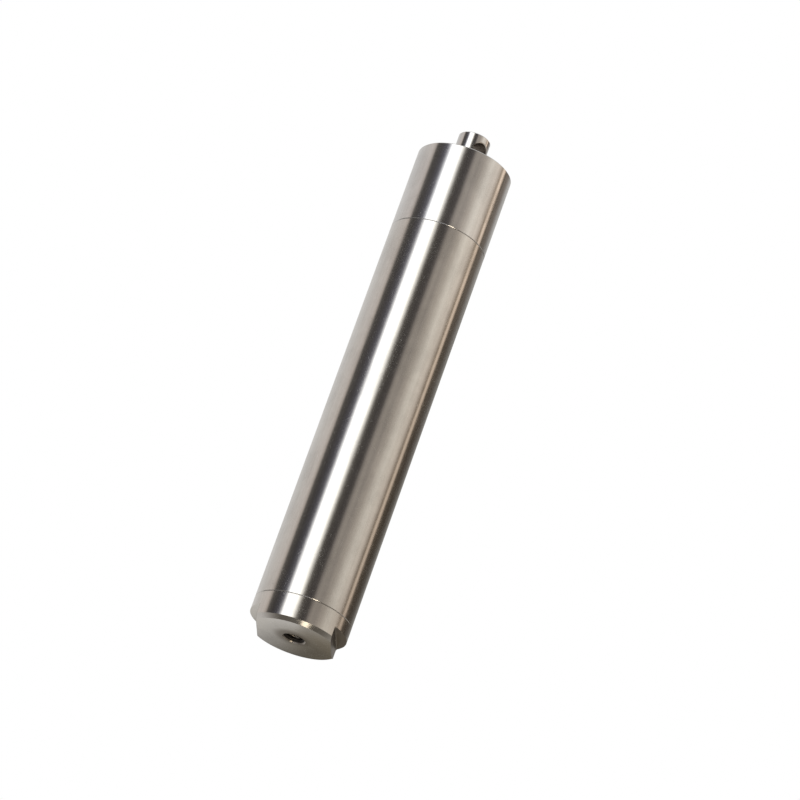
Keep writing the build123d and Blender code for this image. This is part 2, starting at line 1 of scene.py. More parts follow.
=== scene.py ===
"""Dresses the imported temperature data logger: finishes, thread ridges, solder, studio and camera.

Lengths in the model are metres. Shader patterns and the sizes of the pieces made here are written in
millimetres, in the frame of the part: +Z up the logger's axis, the origin at the middle of its foot.
"""

import json
import logging
import math
from dataclasses import dataclass, field
from enum import Enum
from functools import reduce

import bmesh
import bpy
from mathutils import Matrix, Vector

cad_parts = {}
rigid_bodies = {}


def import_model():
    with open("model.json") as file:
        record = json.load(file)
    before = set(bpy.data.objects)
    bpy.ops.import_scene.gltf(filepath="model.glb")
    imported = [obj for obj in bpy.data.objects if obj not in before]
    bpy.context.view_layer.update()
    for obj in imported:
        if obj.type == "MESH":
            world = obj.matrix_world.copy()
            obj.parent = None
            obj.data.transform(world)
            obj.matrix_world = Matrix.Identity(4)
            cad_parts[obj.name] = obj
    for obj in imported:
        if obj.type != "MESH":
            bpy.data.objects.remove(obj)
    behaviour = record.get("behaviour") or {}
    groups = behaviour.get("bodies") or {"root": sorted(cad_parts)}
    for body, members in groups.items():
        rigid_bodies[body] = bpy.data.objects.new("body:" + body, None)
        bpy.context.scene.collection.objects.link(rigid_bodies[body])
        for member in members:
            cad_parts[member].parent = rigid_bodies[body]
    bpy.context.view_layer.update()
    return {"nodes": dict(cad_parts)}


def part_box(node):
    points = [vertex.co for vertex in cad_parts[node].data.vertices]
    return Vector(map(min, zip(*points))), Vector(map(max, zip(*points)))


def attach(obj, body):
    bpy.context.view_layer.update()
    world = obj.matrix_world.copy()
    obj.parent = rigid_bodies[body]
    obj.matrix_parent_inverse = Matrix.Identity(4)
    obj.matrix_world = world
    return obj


LOG = logging.getLogger("data_logger")

# In metres: a millimetre, and how close two vertices have to be to count as one.
MM = 0.001
WELD_DISTANCE = 1e-7

# Where the camera stands, in degrees from -Y towards +X.
CAMERA_BEARING = 8.0

Colour = tuple[float, float, float]
Place = tuple[float, float, float]


class Body(Enum):
    """The two bodies that the logger's pieces ride on."""

    HOUSING = "housing"
    CAP = "cap"


class Slot(Enum):
    """Labels for the material slots of the pieces made here; a piece keeps its label, which nothing here
    reads.
    """

    STEEL = "stainless_steel"
    CONTACT = "contact_metal"


class Neighbour(Enum):
    """The scattered point that a cell pattern measures to."""

    NEAREST = "F1"
    NEXT = "F2"


class Wire:
    """A shader socket that can be written in expressions."""

    def __init__(self, graph: "Graph", socket: bpy.types.NodeSocket) -> None:
        """Keeps the socket and the graph that new nodes go into."""
        self.graph = graph
        self.socket = socket

    def sibling(self, output: int | str) -> "Wire":
        """Another output of the same node."""
        return Wire(self.graph, self.socket.node.outputs[output])

    def maths(self, operation: str, *values: "Wire | float") -> "Wire":
        """Adds a Math node, with its inputs in order, each a wire or a number."""
        return self.graph.node("ShaderNodeMath", {"operation": operation}, dict(enumerate(values)))

    def __add__(self, other: "Wire | float") -> "Wire":
        """The sum."""
        return self.maths("ADD", self, other)

    def __radd__(self, other: float) -> "Wire":
        """The sum, with a number first."""
        return self.maths("ADD", other, self)

    def __sub__(self, other: "Wire | float") -> "Wire":
        """The difference."""
        return self.maths("SUBTRACT", self, other)

    def __rsub__(self, other: float) -> "Wire":
        """The difference from a number."""
        return self.maths("SUBTRACT", other, self)

    def __mul__(self, other: "Wire | float") -> "Wire":
        """The product."""
        return self.maths("MULTIPLY", self, other)

    def __rmul__(self, other: float) -> "Wire":
        """The product, with a number first."""
        return self.maths("MULTIPLY", other, self)

    def __truediv__(self, other: "Wire | float") -> "Wire":
        """The quotient."""
        return self.maths("DIVIDE", self, other)

    def __rtruediv__(self, other: float) -> "Wire":
        """The quotient of a number by this."""
        return self.maths("DIVIDE", other, self)

    def __pow__(self, other: float) -> "Wire":
        """The power."""
        return self.maths("POWER", self, other)

    def __rpow__(self, other: float) -> "Wire":
        """A number raised to this power."""
        return self.maths("POWER", other, self)

    def __abs__(self) -> "Wire":
        """The size without its sign."""
        return self.maths("ABSOLUTE", self)

    def larger(self, other: "Wire | float") -> "Wire":
        """The larger of two values."""
        return self.maths("MAXIMUM", self, other)

    def smaller(self, other: "Wire | float") -> "Wire":
        """The smaller of two values."""
        return self.maths("MINIMUM", self, other)

    def over(self, low: float, high: float) -> "Wire":
        """A soft step.

        Args:
            low: the value where the step is 0.
            high: the value where the step is 1; it may be below low, for a falling step.

        Returns:
            0 to 1.
        """
        step = self.graph.node(
            "ShaderNodeMapRange",
            {"interpolation_type": "SMOOTHSTEP"},
            {"Value": self, "From Min": min(low, high), "From Max": max(low, high)},
        )
        return 1 - step if low > high else step


Value = Wire | float | Colour


@dataclass(frozen=True)
class Spot:
    """A place on the object in millimetres, with its parts and its distance from the axis."""

    place: Wire
    x: Wire
    y: Wire
    z: Wire
    away: Wire


class Graph:
    """The node tree of one material, or of the world."""

    def __init__(self, tree: bpy.types.NodeTree) -> None:
        """Starts from an empty tree."""
        self.tree = tree
        tree.nodes.clear()

    def node(
        self,
        kind: str,
        settings: dict[str, object] | None = None,
        sockets: dict[int | str, Value] | None = None,
        output: int | str = 0,
    ) -> Wire:
        """Adds any node.

        Args:
            kind: the node's type.
            settings: what is set first, such as an operation; "stops" are a ramp's (place, colour) pairs.
            sockets: numbers, colours or wires by input name or number.
            output: the output wanted.

        Returns:
            That output.
        """
        made = self.tree.nodes.new(kind)
        for name, value in (settings or {}).items():
            if name == "stops":
                self.fill_ramp(made.color_ramp, value)
            else:
                setattr(made, name, value)
        for key, value in (sockets or {}).items():
            if isinstance(value, Wire):
                self.tree.links.new(value.socket, made.inputs[key])
            elif isinstance(value, tuple) and len(made.inputs[key].default_value) > len(value):
                made.inputs[key].default_value = (*value, 1.0)
            else:
                made.inputs[key].default_value = value
        return Wire(self, made.outputs[output])

    @staticmethod
    def fill_ramp(ramp: bpy.types.ColorRamp, stops: list[tuple[float, Colour]]) -> None:
        """Sets a ramp's stops.

        Args:
            ramp: the ramp.
            stops: places from 0 to 1 in rising order, each with its colour.
        """
        while len(ramp.elements) > 1:
            ramp.elements.remove(ramp.elements[0])
        ramp.elements[0].position = stops[0][0]
        ramp.elements[0].color = (*stops[0][1], 1.0)
        for place, colour in stops[1:]:
            ramp.elements.new(place).color = (*colour, 1.0)

    def show(self, kind: str, surface: Wire) -> None:
        """Links a shader to a new output node of the type given."""
        out = self.tree.nodes.new(kind)
        self.tree.links.new(surface.socket, out.inputs["Surface"])

    def spot(self) -> Spot:
        """The place on the object.

        Returns:
            The place with its parts and its distance from the axis, in millimetres.
        """
        place = self.position()
        x, y, z = self.split(place)
        return Spot(place, x, y, z, self.radius(x, y))

    def position(self) -> Wire:
        """The place on the object, in millimetres."""
        return self.stretch(self.node("ShaderNodeTexCoord", output="Object"), 1 / MM)

    def stretch(self, vector: Wire, *scale: float) -> Wire:
        """Multiplies a vector by one number, or by three."""
        factors = scale if len(scale) == 3 else scale * 3
        return self.node("ShaderNodeVectorMath", {"operation": "MULTIPLY"}, {0: vector, 1: factors})

    def shift(self, vector: Wire, offset: Wire | Place) -> Wire:
        """Adds a vector to a vector."""
        return self.node("ShaderNodeVectorMath", {"operation": "ADD"}, {0: vector, 1: offset})

    def dot(self, vector: Wire, other: Place) -> Wire:
        """The dot product of a vector with a fixed one."""
        settings = {"operation": "DOT_PRODUCT"}
        return self.node("ShaderNodeVectorMath", settings, {0: vector, 1: other}, "Value")

    def split(self, vector: Wire) -> tuple[Wire, Wire, Wire]:
        """The three parts of a vector."""
        first = self.node("ShaderNodeSeparateXYZ", None, {0: vector})
        return first, first.sibling(1), first.sibling(2)

    def join(self, x: Value, y: Value, z: Value) -> Wire:
        """A vector from three values."""
        return self.node("ShaderNodeCombineXYZ", None, {0: x, 1: y, 2: z})

    @staticmethod
    def radius(x: Wire, y: Wire) -> Wire:
        """The length of a flat vector."""
        return (x * x + y * y) ** 0.5

    @staticmethod
    def most(marks: list[Wire]) -> Wire | float:
        """The largest of several values, or 0 where there are none."""
        return reduce(Wire.larger, marks) if marks else 0.0

    def noise(self, vector: Wire, scale: float, detail: float = 2.0, rough: float = 0.5) -> Wire:
        """Soft noise, 0 to 1 and mostly near 0.5; the scale sets its cycles per unit of the vector."""
        sockets = {"Vector": vector, "Scale": scale, "Detail": detail, "Roughness": rough}
        return self.node("ShaderNodeTexNoise", None, sockets, "Fac")

    def cells(self, vector: Wire, scale: float) -> Wire:
        """The distance to the nearest of scattered points; the scale sets how many there are to a unit."""
        return self.node("ShaderNodeTexVoronoi", None, {"Vector": vector, "Scale": scale}, "Distance")

    def blend(self, share: Value, first: Value, second: Value) -> Wire:
        """Mixes two colours, from the first at a share of 0 to the second at 1."""
        return self.node("ShaderNodeMix", {"data_type": "RGBA"}, {0: share, 6: first, 7: second}, 2)

    def shade(self, colour: Value, amount: Wire) -> Wire:
        """A colour made lighter or darker by a factor near 1."""
        sockets = {0: 1.0, 6: colour, 7: self.join(amount, amount, amount)}
        return self.node("ShaderNodeMix", {"data_type": "RGBA", "blend_type": "MULTIPLY"}, sockets, 2)

    def relief(self, height: Wire) -> Wire:
        """A normal from a height in millimetres."""
        return self.node("ShaderNodeBump", None, {"Strength": 1.0, "Distance": MM, "Height": height})

    def hairlines(self, flat: Wire, per_mm: float, share: float, length: float, width: float) -> Wire:
        """Sparse straight scratches, one to a cell at most, each in a direction of its own.

        Args:
            flat: a flat position in millimetres, with the object's length along its second part.
            per_mm: cells per millimetre.
            share: the share of cells that hold a scratch.
            length: half the length of the longest, in millimetres.
            width: half the width of the widest, in millimetres.

        Returns:
            1 on a scratch, 0 outside.
        """
        settings = {"voronoi_dimensions": "2D"}
        cell = self.node("ShaderNodeTexVoronoi", settings, {"Vector": flat, "Scale": per_mm}, "Position")
        chance, lean, size = self.split(cell.sibling("Color"))
        x, y, _ = self.split(flat)
        middle_x, middle_y, _ = self.split(cell)
        angle = (lean - 0.5) * 2.4
        sine, cosine = angle.maths("SINE", angle), angle.maths("COSINE", angle)
        aside = abs((x - middle_x) * cosine + (y - middle_y) * sine)
        along = abs((y - middle_y) * cosine - (x - middle_x) * sine)
        near = 1 - (along / (size * length + length * 0.2)).smaller(1.0)
        line = (near * width - aside).over(0.0, width * 0.5)
        return line * chance.over(1 - share, 1 - share * 0.98)

    def specks(self, place: Wire, per_mm: float, share: float, size: float) -> Wire:
        """Sparse small marks.

        Args:
            place: the position in millimetres.
            per_mm: cells per millimetre.
            share: the share of cells that hold a mark.
            size: a mark's radius, as a share of a cell.

        Returns:
            1 in a mark, 0 outside.
        """
        distance = self.cells(place, per_mm)
        picked = self.split(distance.sibling("Color"))[0].over(1 - share, 1 - share * 0.9)
        return distance.over(size, size * 0.5) * picked

    def scratches(self, place: Wire, scale: float, fine: float, share: float) -> Wire:
        """Sparse hairlines, where a soft noise crosses its middle.

        Args:
            place: the position, stretched along the way that the scratches run.
            scale: the noise's scale.
            fine: half the width of a line, in the noise's own value.
            share: the level that a second noise has to pass for a line to show.

        Returns:
            1 on a line, 0 outside.
        """
        line = abs(self.noise(place, scale, 1.0) - 0.5).over(fine, fine * 0.3)
        picked = self.noise(self.shift(place, (7.3, 2.1, 5.7)), scale * 1.7, 1.0)
        return line * picked.over(share, share + 0.04)

    def inside(self, place: Wire, low: Vector, high: Vector, soft: float = 0.01) -> Wire:
        """1 inside a box, 0 outside.

        Args:
            place: the position in millimetres.
            low: the box's lowest corner in metres.
            high: its highest corner in metres.
            soft: half the width of the soft edge round the box, in millimetres.

        Returns:
            0 to 1.
        """
        middle, half = (low + high) / 2 / MM, (high - low) / 2 / MM
        past = [abs(part - middle[axis]) - half[axis] for axis, part in enumerate(self.split(place))]
        return self.most(past).over(soft * 3, soft)


@dataclass(frozen=True)
class Finish:
    """A procedural finish. Each kind says in paint what feeds the surface shader, or makes its own."""

    name: str

    def paint(self, graph: Graph) -> dict[str, Value]:
        """The surface shader's sockets; each kind of finish writes its own."""
        raise NotImplementedError

    def surface(self, graph: Graph) -> Wire:
        """The shader that the material shows."""
        return graph.node("ShaderNodeBsdfPrincipled", None, self.paint(graph))

    def make(self) -> bpy.types.Material:
        """Builds the material.

        Returns:
            The material.
        """
        material = bpy.data.materials.new(self.name)
        material.use_nodes = True
        graph = Graph(material.node_tree)
        graph.show("ShaderNodeOutputMaterial", self.surface(graph))
        return material


@dataclass(frozen=True)
class TurnedSteel(Finish):
    """Stainless steel turned on a lathe and polished: fine lay round the axis, faint rubbing along it."""

    base: Colour = (0.63, 0.62, 0.6)
    roughness: float = 0.13
    lay_depth: float = 0.00008
    waviness: float = 0.004
    anisotropy: float = 0.55
    lay_turn: float = 0.25
    wrap_radius: float = 8.75
    seams: tuple[float, ...] = ()
    threads: tuple["ThreadRidge", ...] = ()
    scratch_tint: Colour = (0.8, 0.79, 0.77)
    speck_tint: Colour = (0.2, 0.18, 0.16)
    cut_and_shade_tint: Colour = (0.2, 0.165, 0.13)
    dirt_and_shade_tint: Colour = (0.09, 0.08, 0.07)

    def paint(self, graph: Graph) -> dict[str, Value]:
        """Feeds the surface shader.

        Args:
            graph: the material's graph.

        Returns:
            The shader's sockets by name.
        """
        spot = graph.spot()
        lay_line = spot.z + spot.away * 1.7
        lay = graph.noise(graph.join(spot.x * 0.2, spot.y * 0.2, lay_line * 9), 1.0, 3.0, 0.7)
        broad = graph.noise(graph.join(spot.x * 0.05, spot.y * 0.05, lay_line * 0.8), 1.0, 2.0)
        rubbed = graph.noise(graph.stretch(spot.place, 3.0, 3.0, 0.09), 1.0, 3.0, 0.6)
        cloud = graph.noise(spot.place, 0.35, 3.0, 0.55)
        wave = graph.noise(graph.stretch(spot.place, 1.0, 1.0, 0.45), 0.22, 1.0)
        mottle = graph.noise(graph.stretch(spot.place, 1.0, 1.0, 0.5), 3.2, 2.0, 0.6)
        frost = graph.noise(graph.shift(spot.place, (4.4, 0.7, 9.1)), 3.6, 1.0).over(0.55, 0.76)
        smudge = graph.noise(graph.stretch(spot.place, 0.2, 0.2, 0.13), 1.0, 2.0, 0.55).over(0.5, 0.64)
        scratch, speck, pit = self.wear(graph, spot, lay_line)
        dirt_and_shade = self.dirt_and_shade(graph, spot, cloud)
        cut = graph.most(self.cut_and_shaded_faces(graph, spot))
        tone = 0.78 + broad * 0.04 + cloud * 0.17 + rubbed * 0.15 + mottle * 0.14 - smudge * 0.07
        colour = graph.shade(self.base, tone)
        colour = graph.blend(scratch * 0.5, colour, self.scratch_tint)
        colour = graph.blend(speck * 0.45 + pit * 0.5, colour, self.speck_tint)
        # Milled faces turn darker and duller; the same mask paints shade on the plug's +X shoulder and in
        # its hole.
        colour = graph.blend(cut * 0.8, colour, self.cut_and_shade_tint)
        # Dirt and painted shade darken the seams and the thread roots.
        colour = graph.blend(dirt_and_shade * 0.6, colour, self.dirt_and_shade_tint)
        rough = self.roughness - 0.055 + lay * 0.035 + cloud * 0.06 + rubbed * 0.025 + mottle * 0.02
        rough = rough + scratch * 0.15 + speck * 0.25 + dirt_and_shade * 0.3 + cut * 0.18
        rough = rough + frost * (0.06 + smudge * 0.07) + smudge * 0.03
        height = (lay - 0.5) * self.lay_depth + wave * self.waviness + self.dome(graph, spot)
        return {
            "Base Color": colour,
            "Metallic": 1.0,
            "Roughness": rough,
            "Anisotropic": self.anisotropy,
            "Anisotropic Rotation": self.lay_turn,
            "Normal": graph.relief(height - scratch * 0.0006 - pit * 0.002),
        }

    def cut_and_shaded_faces(self, graph: Graph, spot: Spot) -> list[Wire]:
        """The milled and drilled faces, which stay duller, and faces that get painted shade; a plainly
        turned piece has none.
        """
        return []

    def dome(self, graph: Graph, spot: Spot) -> Wire | float:
        """How far an end face swells, in millimetres; a plainly turned piece has a flat one."""
        return 0.0

    def wear(self, graph: Graph, spot: Spot, lay_line: Wire) -> tuple[Wire, Wire, Wire]:
        """Marks of handling.

        Args:
            graph: the material's graph.
            spot: the place on the object.
            lay_line: the place along the turned surface, in millimetres.

        Returns:
            Scratches, dark specks and small pits, each 0 to 1.
        """
        bearing = spot.y.maths("ARCTAN2", spot.y, spot.x)
        unrolled = graph.join(bearing * self.wrap_radius, lay_line, 0.0)
        long = graph.hairlines(unrolled, 0.3, 0.3, 2.2, 0.035)
        short = graph.hairlines(graph.shift(unrolled, (5.3, 1.9, 0.0)), 0.7, 0.25, 0.9, 0.02)
        speck = graph.specks(spot.place, 1.1, 0.04, 0.06)
        pit = graph.specks(graph.shift(spot.place, (3.1, 8.2, 1.7)), 2.3, 0.03, 0.12)
        return long.larger(short), speck, pit

    def dirt_and_shade(self, graph: Graph, spot: Spot, cloud: Wire) -> Wire:
        """Dirt and painted shade in the seams and the thread roots.

        Args:
            graph: the material's graph.
            spot: the place on the object.
            cloud: soft noise that breaks it up.

        Returns:
            0 to 1.
        """
        marks = [abs(spot.z - seam).over(0.06, 0.02) * 0.62 for seam in self.seams]
        for thread in self.threads:
            middle, half = (thread.low + thread.high) / 2, (thread.high - thread.low) / 2
            deep = abs(spot.away - thread.root).over(0.12, 0.02)
            marks.append(deep * abs(spot.z - middle).over(half + 0.1, half - 0.1))
        return graph.most(marks) * (0.45 + cloud * 0.7).smaller(1.0)


@dataclass(frozen=True)
class PlugSteel(TurnedSteel):
    """The end plug's steel, with duller milled flats, painted shade on one shoulder and in its hole, and a
    faintly domed foot with a painted dark halo round the hole.
    """

    base: Colour = (0.62, 0.605, 0.58)
    roughness: float = 0.145
    lay_depth: float = 0.0002
    flat_half: float = 6.75
    flat_top: float = 2.4
    foot_radius: float = 7.85
    foot_dome: float = 0.6
    mouth_radius: float = 2.14
    hole_shade_radius: float = 1.93
    bore_radius: float = 1.62
    hole_depth: float = 6.0
    halo_shade_middle: tuple[float, float] = (-0.4, -0.5)
    halo_shade_reach: tuple[float, float] = (3.9, 2.0)
    halo_shade_tint: Colour = (0.2, 0.17, 0.14)
    hole_shade_tint: Colour = (0.02, 0.017, 0.015)

    def paint(self, graph: Graph) -> dict[str, Value]:
        """Feeds the surface shader.

        Args:
            graph: the material's graph.

        Returns:
            The shader's sockets by name.
        """
        sockets = super().paint(graph)
        spot = graph.spot()
        # Painted shade: a dark halo on the foot's face round the hole, centred a little off the hole's
        # middle.
        from_middle = graph.radius(spot.x - self.halo_shade_middle[0], spot.y - self.halo_shade_middle[1])
        halo_shade = from_middle.over(*self.halo_shade_reach) * self.foot_face(graph, spot)
        colour = graph.blend(halo_shade * 0.75, sockets["Base Color"], self.halo_shade_tint)
        # Painted shade: the hole is painted almost black inside, for the shade deep in it.
        dark = spot.away.over(self.hole_shade_radius, self.hole_shade_radius - 0.08) * spot.z.over(0.02, 0.06)
        dark = dark * self.in_hole(spot)
        sockets["Base Color"] = graph.blend(dark * 0.93, colour, self.hole_shade_tint)
        sockets["Roughness"] = sockets["Roughness"] + dark * 0.2
        return sockets

    def in_hole(self, spot: Spot) -> Wire:
        """1 at the heights of the foot's hole."""
        return spot.z.over(self.hole_depth, self.hole_depth - 1.0)

    def foot_face(self, graph: Graph, spot: Spot) -> Wire:
        """1 on the faces that look down, from the foot to the top of the flats."""
        up = graph.split(graph.node("ShaderNodeNewGeometry", output="Normal"))[2]
        return up.over(-0.9, -0.97) * spot.z.over(self.flat_top + 0.2, self.flat_top + 0.1)

    def dome(self, graph: Graph, spot: Spot) -> Wire:
        """How far the foot's face swells, in millimetres."""
        fall = (spot.away / self.foot_radius) ** 2.0
        return self.foot_face(graph, spot) * (1 - fall) * self.foot_dome

    def cut_and_shaded_faces(self, graph: Graph, spot: Spot) -> list[Wire]:
        """The milled flats, which stay duller, with painted shade on the ledge over the +X flat and in the
        drilled hole with its mouth.

        Args:
            graph: the material's graph; not used.
            spot: the place on the object.

        Returns:
            How dull and how darkened each of them is, 0 to 1.
        """
        half, top = self.flat_half, self.flat_top
        flats = abs(abs(spot.x) - half).over(0.06, 0.03) * spot.z.over(top + 0.03, top + 0.01)
        # Painted shade on the shoulder over the +X flat only.
        ledge = spot.x.over(half - 0.03, half - 0.01) * abs(spot.z - top).over(0.04, 0.02)
        # Painted shade in the hole's mouth and bore.
        mouth = spot.away.over(self.mouth_radius, self.mouth_radius - 0.08) * spot.z.over(0.005, 0.015)
        bore = spot.away.over(self.bore_radius, self.bore_radius - 0.1)
        inside = self.in_hole(spot)
        return [flats * 0.7, ledge, mouth * inside * 0.85, bore * inside]


@dataclass(frozen=True)
class CapSteel(TurnedSteel):
    """The screw cap's steel, with a duller cross hole through its stud."""

    base: Colour = (0.645, 0.643, 0.638)
    eye_height: float = 97.9
    eye_radius: float = 1.6
    stud_radius: float = 2.95

    def cut_and_shaded_faces(self, graph: Graph, spot: Spot) -> list[Wire]:
        """The wall of the eye, whose axis lies at -45 degrees from +X.

        Args:
            graph: the material's graph.
            spot: the place on the object.

        Returns:
            How dull it is, 0 to 1.
        """
        across = (spot.x + spot.y) * math.sqrt(0.5)
        from_eye = graph.radius(across, spot.z - self.eye_height)
        bore = from_eye.over(self.eye_radius + 0.06, self.eye_radius + 0.02)
        return [bore * spot.away.over(self.stud_radius - 0.05, self.stud_radius - 0.15)]


@dataclass(frozen=True)
class PlainMetal(Finish):
    """Drawn, rolled or plated metal with fine marks along one direction."""

    base: Colour = (0.6, 0.6, 0.6)
    roughness: float = 0.28
    grain: Place = (20.0, 20.0, 1.5)
    tarnish: Colour = (0.3, 0.25, 0.2)
    tarnish_share: float = 0.2

    def paint(self, graph: Graph) -> dict[str, Value]:
        """Feeds the surface shader.

        Args:
            graph: the material's graph.

        Returns:
            The shader's sockets by name.
        """
        place = graph.position()
        lines = graph.noise(graph.stretch(place, *self.grain), 1.0, 3.0, 0.65)
        cloud = graph.noise(place, 0.9, 3.0, 0.6)
        speck = graph.specks(place, 2.6, 0.08, 0.1)
        colour = graph.shade(self.base, 0.93 + lines * 0.07 + cloud * 0.07)
        stain = cloud.over(0.5, 0.75) * self.tarnish_share + speck * 0.4
        return {
            "Base Color": graph.blend(stain, colour, self.tarnish),
            "Metallic": 1.0,
            "Roughness": self.roughness - 0.05 + lines * 0.09 + speck * 0.2,
            "Normal": graph.relief(lines * 0.0015 - speck * 0.002),
        }


@dataclass(frozen=True)
class ScrewHeads(PlainMetal):
    """Small pan heads with a pressed cross recess each, seen from the board's front."""

    centres: tuple[tuple[float, float], ...] = ()
    front: float = -0.5
    arm: float = 0.42
    half_width: float = 0.1
    recess_shade_tint: Colour = (0.03, 0.03, 0.03)

    def paint(self, graph: Graph) -> dict[str, Value]:
        """Feeds the surface shader.

        Args:
            graph: the material's graph.

        Returns:
            The shader's sockets by name.
        """
        sockets = super().paint(graph)
        x, y, z = graph.split(graph.position())
        crosses = []
        for middle_x, middle_z in self.centres:
            aside, above = abs(x - middle_x), abs(z - middle_z)
            slot = aside.smaller(above).over(self.half_width, self.half_width * 0.7)
            crosses.append(slot * aside.larger(above).over(self.arm, self.arm * 0.93))
        # Painted shade: each cross recess is painted near black, for the shade inside it.
        recess = graph.most(crosses) * y.over(self.front + 0.02, self.front)
        sockets["Base Color"] = graph.blend(recess * 0.85, sockets["Base Color"], self.recess_shade_tint)
        sockets["Roughness"] = sockets["Roughness"] + recess * 0.25
        return sockets


@dataclass(frozen=True)
class Moulded(Finish):
    """Injection-moulded plastic or cast resin, with a fine sparked grain and faint flow marks."""

    base: Colour = (0.1, 0.1, 0.11)
    light: Colour = (0.16, 0.16, 0.165)
    roughness: float = 0.45
    grain_depth: float = 0.006
    grain_scale: float = 9.0
    fibre: float = 0.0
    fibre_tint: Colour = (0.45, 0.44, 0.42)

    def paint(self, graph: Graph) -> dict[str, Value]:
        """Feeds the surface shader.

        Args:
            graph: the material's graph.

        Returns:
            The shader's sockets by name.
        """
        place = graph.position()
        grain = graph.noise(place, self.grain_scale, 3.0, 0.6)
        flow = graph.noise(graph.stretch(place, 0.6, 0.6, 0.12), 1.0, 3.0, 0.6)
        fibres = graph.scratches(graph.stretch(place, 4.0, 4.0, 1.0), 1.0, 0.03, 0.5)
        speck = graph.specks(place, 3.0, 0.04, 0.12)
        colour = graph.blend(flow.over(0.35, 0.7), self.base, self.light)
        colour = graph.shade(colour, 0.9 + grain * 0.2)
        return {
            "Base Color": graph.blend(fibres * self.fibre + speck * 0.3, colour, self.fibre_tint),
            "Roughness": self.roughness - 0.06 + grain * 0.08 + flow * 0.06,
            "Specular IOR Level": 0.45,
            "Normal": graph.relief(grain * self.grain_depth + flow * 0.004),
        }


@dataclass(frozen=True)
class Rubber(Finish):
    """Matt sealing rubber with a faint bloom and a thin film of grease."""

    base: Colour = (0.022, 0.022, 0.023)
    bloom: Colour = (0.075, 0.075, 0.078)

    def paint(self, graph: Graph) -> dict[str, Value]:
        """Feeds the surface shader.

        Args:
            graph: the material's graph.

        Returns:
            The shader's sockets by name.
        """
        place = graph.position()
        grain = graph.noise(place, 7.0, 3.0, 0.6)
        film = graph.noise(place, 1.1, 3.0, 0.55)
        dust = graph.specks(place, 3.5, 0.06, 0.12)
        return {
            "Base Color": graph.blend(film.over(0.45, 0.75) * 0.6 + dust * 0.5, self.base, self.bloom),
            "Roughness": 0.62 - film.over(0.35, 0.6) * 0.28 + grain * 0.1,
            "Normal": graph.relief(grain * 0.006),
        }


@dataclass(frozen=True)
class Foam(Finish):
    """Closed-cell foam, cut to shape: open bubbles of about 0.3 mm over its faces."""

    base: Colour = (0.17, 0.17, 0.18)
    deep: Colour = (0.05, 0.05, 0.055)

    def paint(self, graph: Graph) -> dict[str, Value]:
        """Feeds the surface shader.

        Args:
            graph: the material's graph.

        Returns:
            The shader's sockets by name.
        """
        place = graph.position()
        sockets = {"Vector": place, "Scale": 2.5, "Detail": 2.0}
        drift = graph.node("ShaderNodeTexNoise", None, sockets, "Color")
        warp = graph.shift(place, graph.stretch(drift, 0.25))
        pit = graph.cells(warp, 3.2).over(0.5, 0.12)
        small = graph.cells(warp, 7.5).over(0.5, 0.1)
        # Painted shade: the open bubbles are painted darker, for the shade inside them.
        colour = graph.blend(pit * 0.75 + small * 0.25, self.base, self.deep)
        return {
            "Base Color": graph.shade(colour, 0.85 + graph.noise(place, 0.8, 3.0) * 0.3),
            "Roughness": 0.9,
            "Normal": graph.relief(pit * -0.06 - small * 0.015),
        }


@dataclass(frozen=True)
class TwoTone(Finish):
    """A moulded or ceramic body with bare tinned metal outside a box."""

    base: Colour = (0.05, 0.05, 0.055)
    metal: Colour = (0.66, 0.65, 0.62)
    roughness: float = 0.5
    grain_scale: float = 14.0
    low: Place = (0.0, 0.0, 0.0)
    high: Place = (0.0, 0.0, 0.0)
    dot: Place | None = None
    dot_radius: float = 0.2
    dot_tint: Colour = (0.16, 0.16, 0.165)

    def paint(self, graph: Graph) -> dict[str, Value]:
        """Feeds the surface shader.

        Args:
            graph: the material's graph.

        Returns:
            The shader's sockets by name.
        """
        place = graph.position()
        body = graph.inside(place, Vector(self.low), Vector(self.high))
        grain = graph.noise(place, self.grain_scale, 3.0, 0.6)
        cloud = graph.noise(place, 1.3, 3.0)
        skin = graph.shade(self.base, 0.8 + grain * 0.3 + cloud * 0.1)
        height = grain * body * 0.006
        if self.dot is not None:
            x, _, z = graph.split(graph.shift(place, tuple(-part for part in self.dot)))
            mark = (x * x + z * z).over(self.dot_radius**2, self.dot_radius**2 * 0.75)
            skin = graph.blend(mark * 0.6, skin, self.dot_tint)
            height = height - mark * body * 0.02
        return {
            "Base Color": graph.blend(body, graph.shade(self.metal, 0.88 + cloud * 0.2), skin),
            "Metallic": 1 - body,
            "Roughness": 0.3 + cloud * 0.08 + body * (self.roughness - 0.32),
            "Normal": graph.relief(height),
        }


